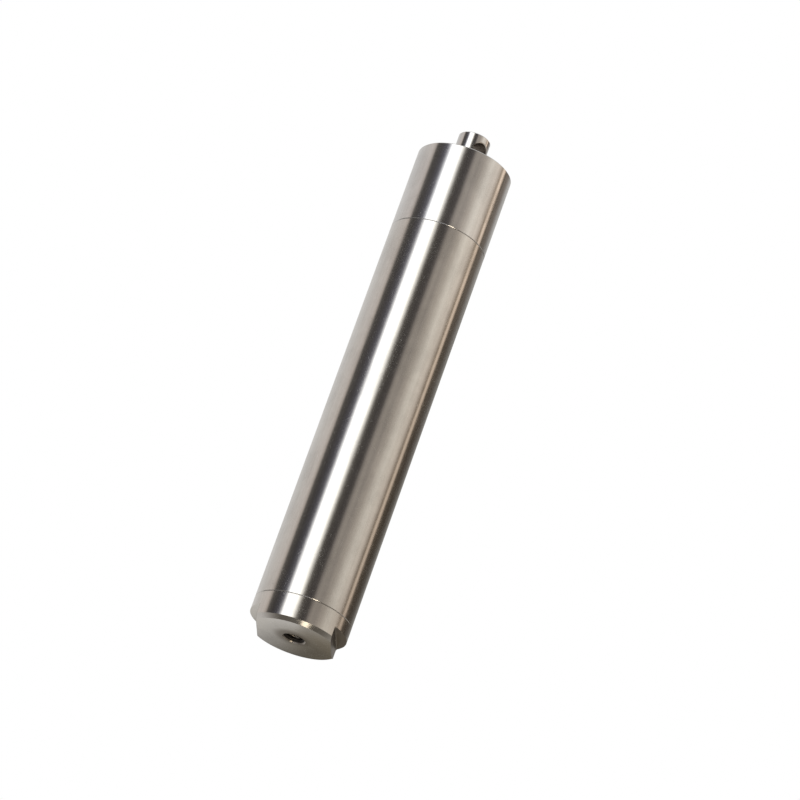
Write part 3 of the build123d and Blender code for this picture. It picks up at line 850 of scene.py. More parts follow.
@dataclass(frozen=True)
class CellSleeve(Finish):
    """The cell: a printed shrink sleeve that folds over both ends of a bright steel can."""

    low: float = 16.8
    high: float = 44.1
    radius: float = 5.0
    fold: float = 1.1
    band_drop: float = 3.2
    band_half: float = 0.9
    sleeve: Colour = (0.045, 0.13, 0.085)
    band: Colour = (0.55, 0.52, 0.42)
    can: Colour = (0.62, 0.61, 0.58)

    def paint(self, graph: Graph) -> dict[str, Value]:
        """Feeds the surface shader.

        Args:
            graph: the material's graph.

        Returns:
            The shader's sockets by name.
        """
        spot = graph.spot()
        bare = self.radius - self.fold
        covered = spot.away.over(bare - 0.05, bare + 0.05)
        from_band = abs(spot.z - (self.high - self.band_drop))
        ring = from_band.over(self.band_half + 0.05, self.band_half - 0.05) * covered
        grain = graph.noise(spot.place, 6.0, 3.0)
        cloud = graph.noise(spot.place, 0.5, 3.0)
        wrinkle = graph.noise(graph.join(spot.x * 1.6, spot.y * 1.6, spot.z * 0.2), 1.0, 2.0)
        middle, half = (self.low + self.high) / 2, (self.high - self.low) / 2
        folded = (abs(spot.z - middle) - half + 1.2).over(0.0, 1.0)
        film = graph.blend(ring, graph.shade(self.sleeve, 0.85 + cloud * 0.3), self.band)
        return {
            "Base Color": graph.blend(covered, graph.shade(self.can, 0.9 + grain * 0.15), film),
            "Metallic": 1 - covered,
            "Roughness": 0.26 + cloud * 0.08 + grain * 0.05,
            "Coat Weight": covered * 0.35,
            "Normal": graph.relief(grain * 0.003 + wrinkle * folded * 0.05),
        }


@dataclass(frozen=True)
class BoardLaminate(Finish):
    """Green solder mask over copper tracks, plated holes, and bare glass laminate at the cut edges."""

    half_thickness: float = 0.4
    block: float = 2.6
    ring_radius: float = 0.3
    hole_radius: float = 0.15
    mask: Colour = (0.012, 0.12, 0.05)
    track: Colour = (0.035, 0.22, 0.09)
    plating: Colour = (0.62, 0.5, 0.25)
    laminate: Colour = (0.42, 0.4, 0.22)
    hole_shade_tint: Colour = (0.02, 0.02, 0.02)

    def paint(self, graph: Graph) -> dict[str, Value]:
        """Feeds the surface shader.

        Args:
            graph: the material's graph.

        Returns:
            The shader's sockets by name.
        """
        spot = graph.spot()
        face = (abs(spot.y) - self.half_thickness).over(-0.03, -0.01)
        side = spot.y.over(-0.1, 0.1)
        flat = graph.join(spot.x + side * 31, spot.z + side * 17, 0.0)
        gap = self.blocks(graph, flat, Neighbour.NEXT) - self.blocks(graph, flat, Neighbour.NEAREST)
        tracks = gap.over(0.14, 0.11)
        for line in (0.32, 0.6):
            tracks = tracks.larger(abs(gap - line).over(0.1, 0.07))
        rings, holes = self.dots(graph, flat, self.ring_radius), self.dots(graph, flat, self.hole_radius)
        weave = graph.noise(spot.place, 5.0, 2.0)
        green = graph.shade(graph.blend(tracks, self.mask, self.track), 0.9 + weave * 0.2)
        green = graph.blend(rings, green, self.plating)
        # Painted shade: the holes are painted near black, for the shade inside them.
        green = graph.blend(holes, green, self.hole_shade_tint)
        ply = graph.noise(graph.join(spot.x * 0.4, spot.y * 9, spot.z * 0.4), 1.0, 2.0)
        return {
            "Base Color": graph.blend(face, graph.shade(self.laminate, 0.7 + ply * 0.5), green),
            "Metallic": rings * (1 - holes) * face,
            "Roughness": 0.62 - face * 0.36 + weave * 0.06,
            "Coat Weight": face * (1 - rings) * 0.4,
            "Normal": graph.relief(tracks * face * 0.025 + weave * 0.003 - holes * face * 0.05),
        }

    def blocks(self, graph: Graph, flat: Wire, neighbour: Neighbour) -> Wire:
        """Distance to the points of a coarse grid, counted along the board's two directions.

        Args:
            graph: the material's graph.
            flat: the place on the board's face in millimetres.
            neighbour: the point to measure to.

        Returns:
            The distance in millimetres.
        """
        settings = {"voronoi_dimensions": "2D", "feature": neighbour.value, "distance": "MANHATTAN"}
        sockets = {"Vector": flat, "Scale": 1 / self.block, "Randomness": 0.9}
        return graph.node("ShaderNodeTexVoronoi", settings, sockets, "Distance") * self.block

    def dots(self, graph: Graph, flat: Wire, radius: float) -> Wire:
        """Round spots in some of the cells of a 2 mm grid, for the plated rings and the holes in them.

        Args:
            graph: the material's graph.
            flat: the place on the board's face in millimetres.
            radius: a spot's radius in millimetres.

        Returns:
            1 in a spot, 0 outside.
        """
        sockets = {"Vector": flat, "Scale": 0.5, "Randomness": 0.6}
        away = graph.node("ShaderNodeTexVoronoi", {"voronoi_dimensions": "2D"}, sockets, "Distance")
        chance = graph.split(away.sibling("Color"))[0]
        return (away * 2).over(radius, radius * 0.85) * chance.over(0.55, 0.56)


@dataclass(frozen=True)
class LeadSleeve(Finish):
    """Silicone insulation in a colour for each lead, with a dusting of talc."""

    first: Colour = (0.5, 0.045, 0.035)
    second: Colour = (0.62, 0.6, 0.56)
    talc_tint: Colour = (0.6, 0.58, 0.56)

    def paint(self, graph: Graph) -> dict[str, Value]:
        """Feeds the surface shader.

        Args:
            graph: the material's graph.

        Returns:
            The shader's sockets by name.
        """
        place = graph.position()
        side = graph.split(place)[0].over(-0.02, 0.02)
        grain = graph.noise(place, 6.0, 3.0)
        talc = graph.noise(graph.stretch(place, 1.0, 1.0, 0.25), 1.2, 3.0).over(0.45, 0.8)
        colour = graph.shade(graph.blend(side, self.first, self.second), 0.85 + grain * 0.3)
        return {
            "Base Color": graph.blend(talc * 0.3, colour, self.talc_tint),
            "Roughness": 0.48 + talc * 0.25 + grain * 0.05,
            "Normal": graph.relief(grain * 0.005),
        }


@dataclass(frozen=True)
class FloorPaper(Finish):
    """Pale matt paper that is clear from below, to metal, and far from the logger."""

    colour: Colour = (0.86, 0.86, 0.855)
    fade: tuple[float, float] = (150.0, 360.0)

    def surface(self, graph: Graph) -> Wire:
        """The shader that the material shows.

        Args:
            graph: the material's graph.

        Returns:
            The paper, mixed with open air where it is clear.
        """
        mirrored = graph.node("ShaderNodeLightPath", output="Is Glossy Ray")
        from_below = graph.node("ShaderNodeNewGeometry", output="Backfacing")
        clear = graph.spot().away.over(*self.fade).larger(mirrored).larger(from_below)
        paper = graph.node("ShaderNodeBsdfDiffuse", None, {"Color": self.colour})
        open_air = graph.node("ShaderNodeBsdfTransparent")
        return graph.node("ShaderNodeMixShader", None, {0: clear, 1: paper, 2: open_air})


def solids_of(name: str) -> list[tuple[Vector, Vector]]:
    """The separate solids of a node.

    Args:
        name: the node.

    Returns:
        The lowest and highest corner of each solid, in millimetres.
    """
    shape = bmesh.new()
    shape.from_mesh(bpy.data.objects[name].data)
    bmesh.ops.remove_doubles(shape, verts=shape.verts, dist=WELD_DISTANCE)
    left, found = set(shape.verts), []
    while left:
        reached = [left.pop()]
        for vertex in reached:
            for edge in vertex.link_edges:
                other = edge.other_vert(vertex)
                if other in left:
                    left.remove(other)
                    reached.append(other)
        places = [vertex.co / MM for vertex in reached]
        found.append((Vector(map(min, *places)), Vector(map(max, *places))))
    shape.free()
    return sorted(found, key=lambda box: tuple(box[0]))


def finish_node(node: bpy.types.Object, finish: Finish) -> None:
    """Gives a node of the model its finish.

    Args:
        node: the node's object.
        finish: what its material slots get.
    """
    material = finish.make()
    for slot in node.material_slots:
        slot.material = material
    LOG.info("node %s: finish %s", node.name, finish.name)


def set_in_scene(name: str, data: bpy.types.ID) -> bpy.types.Object:
    """Sets a mesh, a lamp or a camera in the scene.

    Args:
        name: the object's name.
        data: what it shows.

    Returns:
        The object.
    """
    made = bpy.data.objects.new(name, data)
    bpy.context.scene.collection.objects.link(made)
    return made


@dataclass
class MeshPiece:
    """Collects vertices and faces in millimetres and turns them into a piece of the model."""

    name: str
    body: Body
    slot: Slot
    smooth_angle: float = 35.0
    points: list[Vector] = field(default_factory=list)
    faces: list[tuple[int, ...]] = field(default_factory=list)

    def strip(self, rows: list[list[Vector]]) -> None:
        """Adds a closed tube of rows of equal length, with flat caps on its two ends.

        Args:
            rows: the section's corners at each step, in order round the section.
        """
        start, count = len(self.points), len(rows[0])
        for row in rows:
            self.points.extend(row)
        for step in range(len(rows) - 1):
            for corner in range(count):
                after = (corner + 1) % count
                near, far = start + step * count, start + (step + 1) * count
                self.faces.append((near + corner, near + after, far + after, far + corner))
        self.faces.append(tuple(start + corner for corner in reversed(range(count))))
        last = start + (len(rows) - 1) * count
        self.faces.append(tuple(last + corner for corner in range(count)))

    def build(self, material: bpy.types.Material) -> None:
        """Makes the object, shades it, and sets it on its body.

        Args:
            material: its finish.
        """
        mesh = bpy.data.meshes.new(self.name)
        mesh.from_pydata([point * MM for point in self.points], [], self.faces)
        mesh.materials.append(material)
        shape = bmesh.new()
        shape.from_mesh(mesh)
        bmesh.ops.remove_doubles(shape, verts=shape.verts, dist=WELD_DISTANCE)
        bmesh.ops.recalc_face_normals(shape, faces=shape.faces)
        limit = math.radians(self.smooth_angle)
        for face in shape.faces:
            face.smooth = True
        for edge in shape.edges:
            edge.smooth = len(edge.link_faces) == 2 and edge.calc_face_angle(0.0) < limit
        shape.to_mesh(mesh)
        shape.free()
        piece = set_in_scene(self.name, mesh)
        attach(piece, self.body.value)
        LOG.info("piece %s: %d faces, rides on %s", self.name, len(self.faces), self.body.value)


@dataclass(frozen=True)
class ThreadRidge:
    """A screw thread's ridge, wound on a plain cylinder of the part."""

    name: str
    body: Body
    root: float
    crest: float
    low: float
    high: float
    pitch: float
    steps: int = 56
    sunk: float = 0.02
    foot_share: float = 0.88
    crest_share: float = 0.16
    runout: float = 0.5
    thinnest: float = 0.02

    def build(self, material: bpy.types.Material) -> None:
        """Winds the ridge, which runs out to almost nothing at both ends.

        Args:
            material: its finish.
        """
        foot = self.root + math.copysign(self.sunk, self.root - self.crest)
        half_foot, half_crest = self.pitch * self.foot_share / 2, self.pitch * self.crest_share / 2
        turns = (self.high - self.low - 2 * half_foot) / self.pitch
        count = max(8, round(turns * self.steps))
        rows = []
        for step in range(count + 1):
            done = step / count * turns
            angle = 2 * math.pi * done
            around = Vector((math.cos(angle), math.sin(angle), 0.0))
            height = self.low + half_foot + done * self.pitch
            rise = max(min(1.0, done / self.runout, (turns - done) / self.runout), self.thinnest)
            crest = self.root + (self.crest - self.root) * rise
            section = ((foot, -half_foot), (crest, -half_crest), (crest, half_crest), (foot, half_foot))
            rows.append([around * radius + Vector((0, 0, height + up)) for radius, up in section])
        piece = MeshPiece(self.name, self.body, Slot.STEEL)
        piece.strip(rows)
        piece.build(material)


@dataclass
class Housing:
    """The turned tube, end plug and screw cap, with the thread ridges that the solids leave plain."""

    neck_thread: ThreadRidge = ThreadRidge(
        "neck_thread", Body.HOUSING, root=6.8, crest=7.05, low=80.6, high=84.2, pitch=0.75
    )
    cap_thread: ThreadRidge = ThreadRidge(
        "cap_thread", Body.CAP, root=7.4, crest=7.15, low=79.45, high=84.9, pitch=0.75
    )
    foot_thread: ThreadRidge = ThreadRidge(
        "foot_thread", Body.HOUSING, root=1.5, crest=1.27, low=0.75, high=4.5, pitch=0.5, steps=32
    )
    ridge_base: Colour = (0.6, 0.59, 0.565)
    shaded_hole_ridge_base: Colour = (0.26, 0.235, 0.2)

    def dress(self, nodes: dict[str, bpy.types.Object]) -> None:
        """Finishes the three turned pieces and winds their threads.

        Args:
            nodes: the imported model's nodes by name.
        """
        seams = tuple(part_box(name)[0].z / MM for name in ("housing_tube", "eyelet_cap"))
        neck, cap, foot = self.neck_thread, self.cap_thread, self.foot_thread
        finish_node(nodes["housing_tube"], TurnedSteel("steel_tube", seams=seams, threads=(neck,)))
        finish_node(nodes["end_plug"], PlugSteel("steel_plug", seams=seams, threads=(foot,)))
        finish_node(nodes["eyelet_cap"], CapSteel("steel_cap", seams=seams, threads=(cap,)))
        bright = TurnedSteel(
            "steel_thread", base=self.ridge_base, roughness=0.24, waviness=0.0, threads=(neck, cap, foot)
        ).make()
        # Painted shade: the thread in the foot's hole gets a dark base, for the shade deep in the hole.
        dull = TurnedSteel(
            "steel_foot_thread_shaded", base=self.shaded_hole_ridge_base, roughness=0.32, waviness=0.0, threads=(foot,)
        ).make()
        for thread, metal in ((neck, bright), (cap, bright), (foot, dull)):
            thread.build(metal)


@dataclass
class Sealing:
    """The ring seals, the gasket and the foam pad."""

    rings: tuple[str, ...] = ("neck_seal", "plug_seal_lower", "plug_seal_upper", "bezel_gasket")

    def dress(self, nodes: dict[str, bpy.types.Object]) -> None:
        """Finishes the soft parts.

        Args:
            nodes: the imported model's nodes by name.
        """
        for name in self.rings:
            finish_node(nodes[name], Rubber(f"rubber_{name}"))
        finish_node(nodes["foam_pad"], Foam("foam_cells"))


@dataclass
class Sensor:
    """The platinum element in its resin, with its leads and connector."""

    ceramic_length: float = 3.1

    def dress(self, nodes: dict[str, bpy.types.Object]) -> None:
        """Finishes the sensor's pieces.

        Args:
            nodes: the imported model's nodes by name.
        """
        low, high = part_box("sensor_element")
        finish_node(nodes["sensor_element"], TwoTone(
            "ceramic_element", base=(0.8, 0.78, 0.72), roughness=0.42, grain_scale=8.0,
            low=tuple(low), high=(high.x, high.y, low.z + self.ceramic_length * MM),
        ))
        finish_node(nodes["sensor_epoxy"], Moulded(
            "casting_resin", base=(0.045, 0.045, 0.05), light=(0.075, 0.075, 0.08),
            roughness=0.22, grain_depth=0.002, grain_scale=3.0,
        ))
        finish_node(nodes["sensor_leads"], LeadSleeve("lead_insulation"))
        for name in ("sensor_plug", "sensor_header"):
            finish_node(nodes[name], Moulded(
                "natural_nylon", base=(0.74, 0.71, 0.62), light=(0.82, 0.8, 0.72),
                roughness=0.42, grain_scale=6.0,
            ))


@dataclass
class Power:
    """The cell with its contacts, and the moulded carrier that holds it."""

    terminal_height: float = 0.9

    def dress(self, nodes: dict[str, bpy.types.Object]) -> None:
        """Finishes the cell, the contacts and the carrier.

        Args:
            nodes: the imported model's nodes by name.
        """
        low, high = (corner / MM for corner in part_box("battery_cell"))
        finish_node(nodes["battery_cell"], CellSleeve(
            "cell_sleeve_film", low=low.z, high=high.z - self.terminal_height, radius=high.x,
        ))
        for name in ("contact_minus", "contact_plus"):
            finish_node(nodes[name], PlainMetal(
                "plated_strip", base=(0.78, 0.7, 0.52), roughness=0.24, grain=(9.0, 9.0, 1.0),
                tarnish=(0.42, 0.3, 0.16),
            ))
        finish_node(nodes["carrier"], Moulded(
            "glass_filled_plastic", base=(0.055, 0.055, 0.06), light=(0.1, 0.1, 0.105),
            roughness=0.5, grain_depth=0.008, fibre=0.13,
        ))


@dataclass
class Solder:
    """The tinned ends of the small chips, and the solder that holds them and the chips' leads."""

    face: float = 0.4
    end_length: float = 0.24
    end_wall: float = 0.012
    end_rounding: tuple[float, float] = (0.03, 0.04)
    fillet_top: tuple[float, float] = (0.02, 0.62)
    fillet_reach: float = 0.24
    fillet: tuple[tuple[float, float], ...] = ((0.3, 0.3), (0.62, 0.1), (1.0, 0.0))
    pad_reach: tuple[float, float] = (0.3, 0.85)
    pad_width: float = 0.36
    pad_height: float = 0.05
    mound: tuple[tuple[float, float], ...] = ((0.0, 0.0), (0.02, 0.6), (0.08, 1.0))

    def build(self, small: list[str], chips: dict[str, tuple[int, int]], reach: float) -> None:
        """Makes the tinned ends and the solder.

        Args:
            small: the nodes of small two-ended chips.
            chips: the leads on each leaded side and the number of those sides, by the chip's node.
            reach: how far a lead stands out from its chip, in millimetres.
        """
        metal = PlainMetal(
            "solder", base=(0.72, 0.71, 0.69), roughness=0.22, grain=(4.0, 4.0, 4.0),
            tarnish=(0.4, 0.38, 0.36),
        ).make()
        ends = MeshPiece("tinned_ends", Body.HOUSING, Slot.CONTACT)
        for node in small:
            for low, high in solids_of(node):
                self.tin_ends(ends, low, high)
        ends.build(metal)
        joints = MeshPiece("lead_solder", Body.HOUSING, Slot.CONTACT)
        for node, (leads, sides) in chips.items():
            self.solder_leads(joints, node, leads, sides, reach)
        joints.build(metal)

    def tin_ends(self, piece: MeshPiece, low: Vector, high: Vector) -> None:
        """Wraps both ends of one small chip in tin, with a hollow fillet of solder down to the board.

        Args:
            piece: the mesh that the ends join.
            low: the chip's lowest corner in millimetres.
            high: its highest corner in millimetres.
        """
        size, middle = high - low, (low + high) / 2
        long_axis, wide_axis = (0, 2) if size.x > size.z else (2, 0)
        out = 1.0 if middle.y > 0 else -1.0
        half, wide, tall = size[long_axis] / 2, size[wide_axis] / 2 + self.end_wall, size.y + self.end_wall
        back, down = self.end_rounding
        outline = [
            (half - self.end_length, 0.0),
            (half - self.end_length, tall),
            (half - back, tall),
            (half + self.end_wall, tall - down),
            (half + self.end_wall + self.fillet_top[0], tall * self.fillet_top[1]),
        ]
        outline += [(half + self.fillet_reach * ahead, tall * above) for ahead, above in self.fillet]
        for end in (-1.0, 1.0):
            rows = []
            for side in (-wide, wide):
                row = []
                for along, above in outline:
                    point = middle.copy()
                    point[long_axis] += end * along
                    point[wide_axis] += side
                    point.y = out * (self.face + above)
                    row.append(point)
                rows.append(row)
            piece.strip(rows)

    def solder_leads(self, piece: MeshPiece, node: str, leads: int, sides: int, reach: float) -> None:
        """Sets a low mound of solder under every lead of one chip.

        Args:
            piece: the mesh that the mounds join.
            node: the chip.
            leads: leads on each leaded side.
            sides: 2 for left and right, 4 for all round.
            reach: how far a lead stands out, in millimetres.
        """
        low, high = (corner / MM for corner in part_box(node))
        middle, size = (low + high) / 2, high - low
        width = size.x - 2 * reach
        length = size.z - (2 * reach if sides == 4 else 0.0)
        for turn in range(0, 360, 360 // sides):
            across, along = (width, length) if turn % 180 == 0 else (length, width)
            spin = Matrix.Rotation(math.radians(turn), 3, "Y")
            pitch = along / (leads + 0.4)
            near, far = (across / 2 + pad_end for pad_end in self.pad_reach)
            half = min(self.pad_width, pitch * 0.8) / 2
            for number in range(leads):
                offset = (number - (leads - 1) / 2) * pitch
                rows = []
                for inset, above in self.mound:
                    level = Vector((middle.x, -self.face - above * self.pad_height, middle.z))
                    inner, outer, edge = near + inset, far - inset, half - inset
                    outline = ((inner, -edge), (outer, -edge), (outer, edge), (inner, edge))
                    rows.append([level + spin @ Vector((x, 0.0, offset + z)) for x, z in outline])
                piece.strip(rows)


@dataclass
class Electronics:
    """The circuit board and everything soldered or screwed to it."""

    lead_reach: float = 0.6
    standoff: float = 0.08
    dot_inset: float = 0.45
    capacitor_end: float = 0.8
    small: dict[str, Colour] = field(default_factory=lambda: {
        "ceramic_capacitors": (0.46, 0.34, 0.22),
        "chip_resistors": (0.035, 0.035, 0.04),
    })
    chips: dict[str, tuple[int, int]] = field(default_factory=lambda: {
        "microcontroller": (8, 4),
        "memory_chip": (4, 2),
        "converter_chip": (4, 2),
        "voltage_regulator": (3, 2),
        "transceiver_chip": (4, 2),
    })

    def dress(self, nodes: dict[str, bpy.types.Object]) -> None:
        """Finishes the board and its parts.

        Args:
            nodes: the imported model's nodes by name.
        """
        finish_node(nodes["circuit_board"], BoardLaminate("solder_mask"))
        for name in self.chips:
            finish_node(nodes[name], self.package(name))
        Solder().build(list(self.small), self.chips, self.lead_reach)
        for name, base in self.small.items():
            low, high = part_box(name)
            finish_node(nodes[name], TwoTone(
                f"body_{name}", base=base, roughness=0.4, low=tuple(low), high=tuple(high)
            ))
        low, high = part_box("reservoir_capacitor")
        end = Vector((0, 0, self.capacitor_end * MM))
        finish_node(nodes["reservoir_capacitor"], TwoTone(
            "tantalum_body", base=(0.55, 0.3, 0.05), roughness=0.45,
            low=tuple(low + end), high=tuple(high - end),
        ))
        finish_node(nodes["clock_crystal"], PlainMetal(
            "drawn_can", base=(0.68, 0.68, 0.67), roughness=0.2, grain=(12.0, 12.0, 1.0)
        ))
        screws = solids_of("board_screws")
        finish_node(nodes["board_screws"], ScrewHeads(
            "screw_steel", base=(0.58, 0.57, 0.55), roughness=0.3, grain=(6.0, 20.0, 6.0),
            centres=tuple(((low.x + high.x) / 2, (low.z + high.z) / 2) for low, high in screws),
            front=min(low.y for low, _ in screws),
        ))

    def package(self, name: str) -> TwoTone:
        """The finish of one chip: black body with a moulded dot near one corner, tinned leads.

        Args:
            name: the chip's node.

        Returns:
            The finish.
        """
        low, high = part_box(name)
        all_round = self.chips[name][1] == 4
        reach = Vector((self.lead_reach, 0, self.lead_reach * all_round)) * MM
        low, high = low + reach, high - reach
        high.y = high.y - self.standoff * MM
        inset = self.dot_inset * MM
        dot = Vector((low.x + inset, low.y, high.z - inset)) / MM
        return TwoTone(f"package_{name}", low=tuple(low), high=tuple(high), dot=tuple(dot))


@dataclass
class ReadOut:
    """The socket in the neck, with the bezel and the spring ring over it."""

    def dress(self, nodes: dict[str, bpy.types.Object]) -> None:
        """Finishes the read-out end.

        Args:
            nodes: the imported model's nodes by name.
        """
        finish_node(nodes["interface_socket"], Moulded(
            "socket_moulding", base=(0.03, 0.03, 0.034), light=(0.05, 0.05, 0.054),
            roughness=0.4, grain_scale=12.0,
        ))
        finish_node(nodes["bezel"], TurnedSteel(
            "turned_bezel", base=(0.76, 0.76, 0.77), roughness=0.26, lay_depth=0.0006, waviness=0.001
        ))
        finish_node(nodes["retaining_ring"], PlainMetal(
            "spring_steel", base=(0.5, 0.49, 0.47), roughness=0.3, grain=(5.0, 5.0, 14.0)
        ))


def direction(bearing: float, height: float) -> Place:
    """A unit vector out from the logger: degrees to the right of the camera, and above the floor."""
    turn, rise = math.radians(CAMERA_BEARING + bearing), math.radians(height)
    return (math.sin(turn) * math.cos(rise), -math.cos(turn) * math.cos(rise), math.sin(rise))


@dataclass(frozen=True)
class Panel:
    """One edge of the studio's panels: its bearing in degrees and its light, as the steel mirrors it."""

    bearing: float
    light: Colour


@dataclass(frozen=True)
class Glint:
    """A small low lamp that only the steel shows: where it stands, in degrees, and how bright it is."""

    bearing: float
    height: float
    strength: float


@dataclass(frozen=True)
class Gaze:
    """Where a ray points: its shares to the camera's side and right, its bearing in radians, its rise."""

    toward: Wire
    along: Wire
    across: Wire
    turn: Wire
    rise: Wire


@dataclass
class Studio:
    """A white room with tall panels and dark gaps round the logger, soft light, and a pale floor."""

    floor_drop: float = 0.4
    floor_radius: float = 600.0
    soft_light: Colour = (0.8, 0.8, 0.792)
    lamp_size: float = 0.5
    lamp_energy: float = 3.2
    lamp_place: Place = (-0.45, -0.5, 0.75)
    lamp_aim: Place = (0.0, 0.0, 0.04)
    glint_light: Colour = (3.2, 2.8, 2.2)
    glint_edge: tuple[float, float] = (0.9945, 0.997)
    glints: tuple[Glint, ...] = (Glint(90.0, -83.3, 1.0), Glint(28.5, -66.0, 2.3))
    panels: tuple[Panel, ...] = (
        Panel(-180, (0.72, 0.7, 0.68)),
        Panel(-140, (0.72, 0.7, 0.68)),
        Panel(-97, (0.7, 0.64, 0.6)),
        Panel(-90, (0.6, 0.53, 0.48)),
        Panel(-84, (0.11, 0.1, 0.09)),
        Panel(-70, (0.055, 0.05, 0.05)),
        Panel(-60, (0.075, 0.072, 0.082)),
        Panel(-54, (0.16, 0.155, 0.175)),
        Panel(-49, (0.75, 0.75, 0.78)),
        Panel(-46, (1.9, 1.9, 1.92)),
        Panel(-22, (1.9, 1.87, 1.8)),
        Panel(-17, (1.0, 0.96, 0.88)),
        Panel(-12, (0.21, 0.19, 0.17)),
        Panel(-8, (0.09, 0.08, 0.07)),
        Panel(2, (0.068, 0.06, 0.057)),
        Panel(9, (0.085, 0.075, 0.07)),
        Panel(13, (0.25, 0.22, 0.2)),
        Panel(19, (0.36, 0.32, 0.28)),
        Panel(28, (0.3, 0.265, 0.235)),
        Panel(42, (0.43, 0.38, 0.33)),
        Panel(62, (0.745, 0.685, 0.605)),
        Panel(80, (0.67, 0.59, 0.51)),
        Panel(88, (0.42, 0.35, 0.29)),
        Panel(92.5, (0.17, 0.13, 0.09)),
        Panel(98, (0.74, 0.6, 0.48)),
        Panel(102.5, (0.66, 0.52, 0.41)),
        Panel(107.5, (0.1, 0.078, 0.056)),
        Panel(123, (0.062, 0.048, 0.035)),
        Panel(140, (0.12, 0.105, 0.09)),
        Panel(158, (0.27, 0.255, 0.235)),
        Panel(180, (0.4, 0.38, 0.35)),
    )

    def build(self) -> None:
        """Makes the world, the floor and the lamp."""
        self.build_world()
        self.build_floor()
        self.build_lamp()
        LOG.info("studio: %d panel edges round the steel", len(self.panels))

    def build_world(self) -> None:
        """White to the camera, soft and pale for light, and panelled where metal mirrors it."""
        world = bpy.data.worlds.new("studio_room")
        world.use_nodes = True
        bpy.context.scene.world = world
        graph = Graph(world.node_tree)
        gaze = self.look(graph)
        room = self.panelled_wall(graph, gaze)
        room = self.lit_by_height(graph, gaze, room)
        room = self.low_wall_beyond(graph, gaze, room)
        room = self.floor_and_ceiling(graph, gaze, room)
        seen = graph.node("ShaderNodeLightPath", output="Is Camera Ray")
        light = graph.blend(seen.sibling("Is Glossy Ray"), self.soft_light, room)
        light = graph.blend(seen, light, (1.0, 1.0, 1.0))
        glow = graph.node("ShaderNodeBackground", None, {"Color": light, "Strength": 1.0})
        graph.show("ShaderNodeOutputWorld", glow)

    def look(self, graph: Graph) -> Gaze:
        """Where the ray that reads the world points.

        Args:
            graph: the world's graph.

        Returns:
            The ray's direction and its parts.
        """
        toward = graph.node("ShaderNodeTexCoord", output="Generated")
        along, across = graph.dot(toward, direction(0.0, 0.0)), graph.dot(toward, direction(90.0, 0.0))
        return Gaze(toward, along, across, across.maths("ARCTAN2", across, along), graph.split(toward)[2])

    def panelled_wall(self, graph: Graph, gaze: Gaze) -> Wire:
        """The tall panels and the gaps between them, with edges that wander and a faint blotching.

        Args:
            graph: the world's graph.
            gaze: where the ray points.

        Returns:
            The wall's colour.
        """
        turn, rise = gaze.turn, gaze.rise
        ripple = graph.noise(graph.join(turn * 2.2, rise * 1.4, 0.0), 2.6, 3.0, 0.6) - 0.5
        lean = turn.over(1.2, 1.6) * turn.over(2.6, 2.1) * rise.over(0.33, 0.435)
        round_room = (turn - lean * 0.08) / (2 * math.pi) + 0.5 + ripple * 0.006
        stops = [((panel.bearing + 180) / 360, panel.light) for panel in self.panels]
        wall = graph.node("ShaderNodeValToRGB", {"stops": stops}, {"Fac": round_room})
        blotch = graph.noise(graph.join(turn * 3.0, rise * 2.0, 1.7), 1.6, 3.0, 0.6)
        return graph.shade(wall, 0.86 + blotch * 0.28)

    def lit_by_height(self, graph: Graph, gaze: Gaze, wall: Wire) -> Wire:
        """Lights the wall apart by height, for the upper tube and cap, and for faces that look down.

        Args:
            graph: the world's graph.
            gaze: where the ray points.
            wall: the panelled wall.

        Returns:
            The wall's colour.
        """
        turn, rise = gaze.turn, gaze.rise
        low_right = turn.over(1.5, 1.75) * turn.over(2.7, 2.4) * rise.over(-0.25, -0.45)
        wall = graph.blend(low_right, wall, (0.42, 0.39, 0.35))
        high_right = gaze.across.over(-0.05, 0.1) * rise.over(0.33, 0.43) * turn.over(2.1, 1.85)
        drop = turn.over(0.95, 1.3) * rise.over(0.42, 0.404) * 0.14
        cap_right = turn.over(1.5, 1.7) * rise.over(0.408, 0.425) * turn.over(2.1, 1.85)
        wall = graph.shade(wall, 1 + high_right * (0.24 - drop) + cap_right * 0.7)
        cap_middle = turn.over(0.3, 0.5) * turn.over(1.75, 1.55) * rise.over(0.404, 0.42)
        wall = graph.shade(wall, 1 + cap_middle * 0.14)
        hazy_left = turn.over(-1.4, -1.15) * turn.over(-0.84, -0.98) * rise.over(0.34, 0.4)
        wall = graph.shade(wall, 1 + hazy_left * 0.55)
        glow_right = turn.over(1.95, 2.1) * rise.over(0.402, 0.425)
        edge = graph.blend(turn.over(2.2, 2.6), (0.5, 0.42, 0.36), (1.0, 0.97, 0.94))
        return graph.blend(glow_right * 0.5, wall, edge)

    def low_wall_beyond(self, graph: Graph, gaze: Gaze, wall: Wire) -> Wire:
        """The low wall on the far side, which the foot's own face mirrors.

        Args:
            graph: the world's graph.
            gaze: where the ray points.
            wall: the wall so far.

        Returns:
            The wall's colour.
        """
        nearer = -0.37 - gaze.rise
        level = 0.191 - gaze.across * 1.36 + abs(gaze.across - 0.035).smaller(0.13) * 2.4
        level = level + (nearer * 0.65).larger(nearer * 0.3)
        warmth = graph.blend(gaze.across.over(-0.06, 0.05), (1.0, 0.965, 0.915), (1.0, 0.87, 0.67))
        beyond = gaze.along.over(-0.78, -0.9) * gaze.rise.over(0.15, 0.0)
        return graph.blend(beyond, wall, graph.shade(warmth, level.larger(0.13).smaller(0.7)))

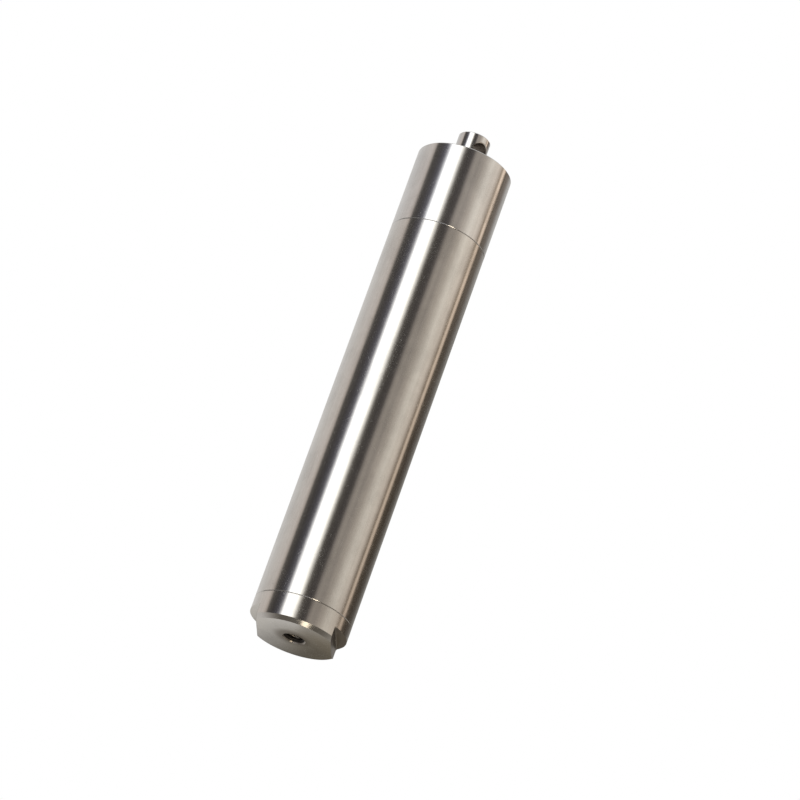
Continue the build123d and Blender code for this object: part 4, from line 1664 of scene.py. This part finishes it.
    def floor_and_ceiling(self, graph: Graph, gaze: Gaze, wall: Wire) -> Wire:
        """What lies under and over the wall, with the small lamps below.

        Args:
            graph: the world's graph.
            gaze: where the ray points.
            wall: the wall's colour.

        Returns:
            The whole room's colour.
        """
        across, rise = gaze.across, gaze.rise
        room = graph.blend(rise.over(-0.62, -0.95), wall, (0.145, 0.13, 0.11))
        front_low = gaze.along.over(0.0, 0.14) * across.over(0.16, 0.06) * rise.over(-0.6, -0.75)
        room = graph.blend(front_low, room, (0.46, 0.45, 0.45))
        left_low = across.over(-0.57, -0.62) * rise.over(-0.35, -0.5)
        room = graph.blend(left_low, room, (0.24, 0.23, 0.22))
        for glint in self.glints:
            way = direction(glint.bearing, glint.height)
            shown = graph.dot(gaze.toward, way).over(*self.glint_edge)
            room = graph.blend(shown, room, tuple(part * glint.strength for part in self.glint_light))
        return graph.blend(rise.over(0.7, 0.95), room, (0.6, 0.59, 0.58))

    def build_floor(self) -> None:
        """A round pale floor just under the foot, clear from below and fading out into the white room."""
        mesh = bpy.data.meshes.new("floor")
        shape = bmesh.new()
        bmesh.ops.create_circle(shape, cap_ends=True, radius=self.floor_radius * MM, segments=96)
        shape.to_mesh(mesh)
        shape.free()
        mesh.materials.append(FloorPaper("floor_paper").make())
        floor = set_in_scene("floor", mesh)
        floor.location.z = -self.floor_drop * MM

    def build_lamp(self) -> None:
        """One large soft lamp, high on the left, that metal doesn't mirror."""
        lamp = bpy.data.lights.new("soft_box", "AREA")
        lamp.shape = "DISK"
        lamp.size = self.lamp_size
        lamp.energy = self.lamp_energy
        holder = set_in_scene("soft_box", lamp)
        holder.location = self.lamp_place
        holder.rotation_mode = "QUATERNION"
        holder.rotation_quaternion = (Vector(self.lamp_aim) - holder.location).to_track_quat("-Z", "Y")
        holder.visible_glossy = False


@dataclass
class PhotoCamera:
    """The camera of the photograph, below the foot and looking up along the logger."""

    elevation: float = -22.444
    roll: float = 19.838
    distance: float = 791.55
    aim: Place = (3.18, 0.435, 48.318)
    lens: float = 203.2
    sensor_width: float = 36.0
    nearest: float = 0.01
    farthest: float = 20.0

    def build(self) -> None:
        """Makes the scene's camera."""
        data = bpy.data.cameras.new("photo_camera")
        data.lens = self.lens
        data.sensor_width = self.sensor_width
        data.clip_start = self.nearest
        data.clip_end = self.farthest
        back = Vector(direction(0.0, self.elevation))
        place = Matrix.Translation((Vector(self.aim) + back * self.distance) * MM)
        level = (-back).to_track_quat("-Z", "Y").to_matrix().to_4x4()
        camera = set_in_scene("photo_camera", data)
        camera.matrix_world = place @ level @ Matrix.Rotation(math.radians(self.roll), 4, "Z")
        bpy.context.scene.camera = camera
        LOG.info("camera: %.1f mm lens, %.0f mm from its aim", self.lens, self.distance)


def main() -> None:
    """Loads the model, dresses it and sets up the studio."""
    logging.basicConfig(level=logging.INFO, format="%(message)s")
    for leftover in list(bpy.data.objects):
        bpy.data.objects.remove(leftover)
    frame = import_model()
    bpy.context.scene.view_settings.view_transform = "Standard"
    nodes = frame["nodes"]
    for part in (Housing(), Sealing(), Sensor(), Power(), Electronics(), ReadOut()):
        part.dress(nodes)
        LOG.info("dressed %s", type(part).__name__)
    Studio().build()
    PhotoCamera().build()


if __name__ == "__main__":
    main()
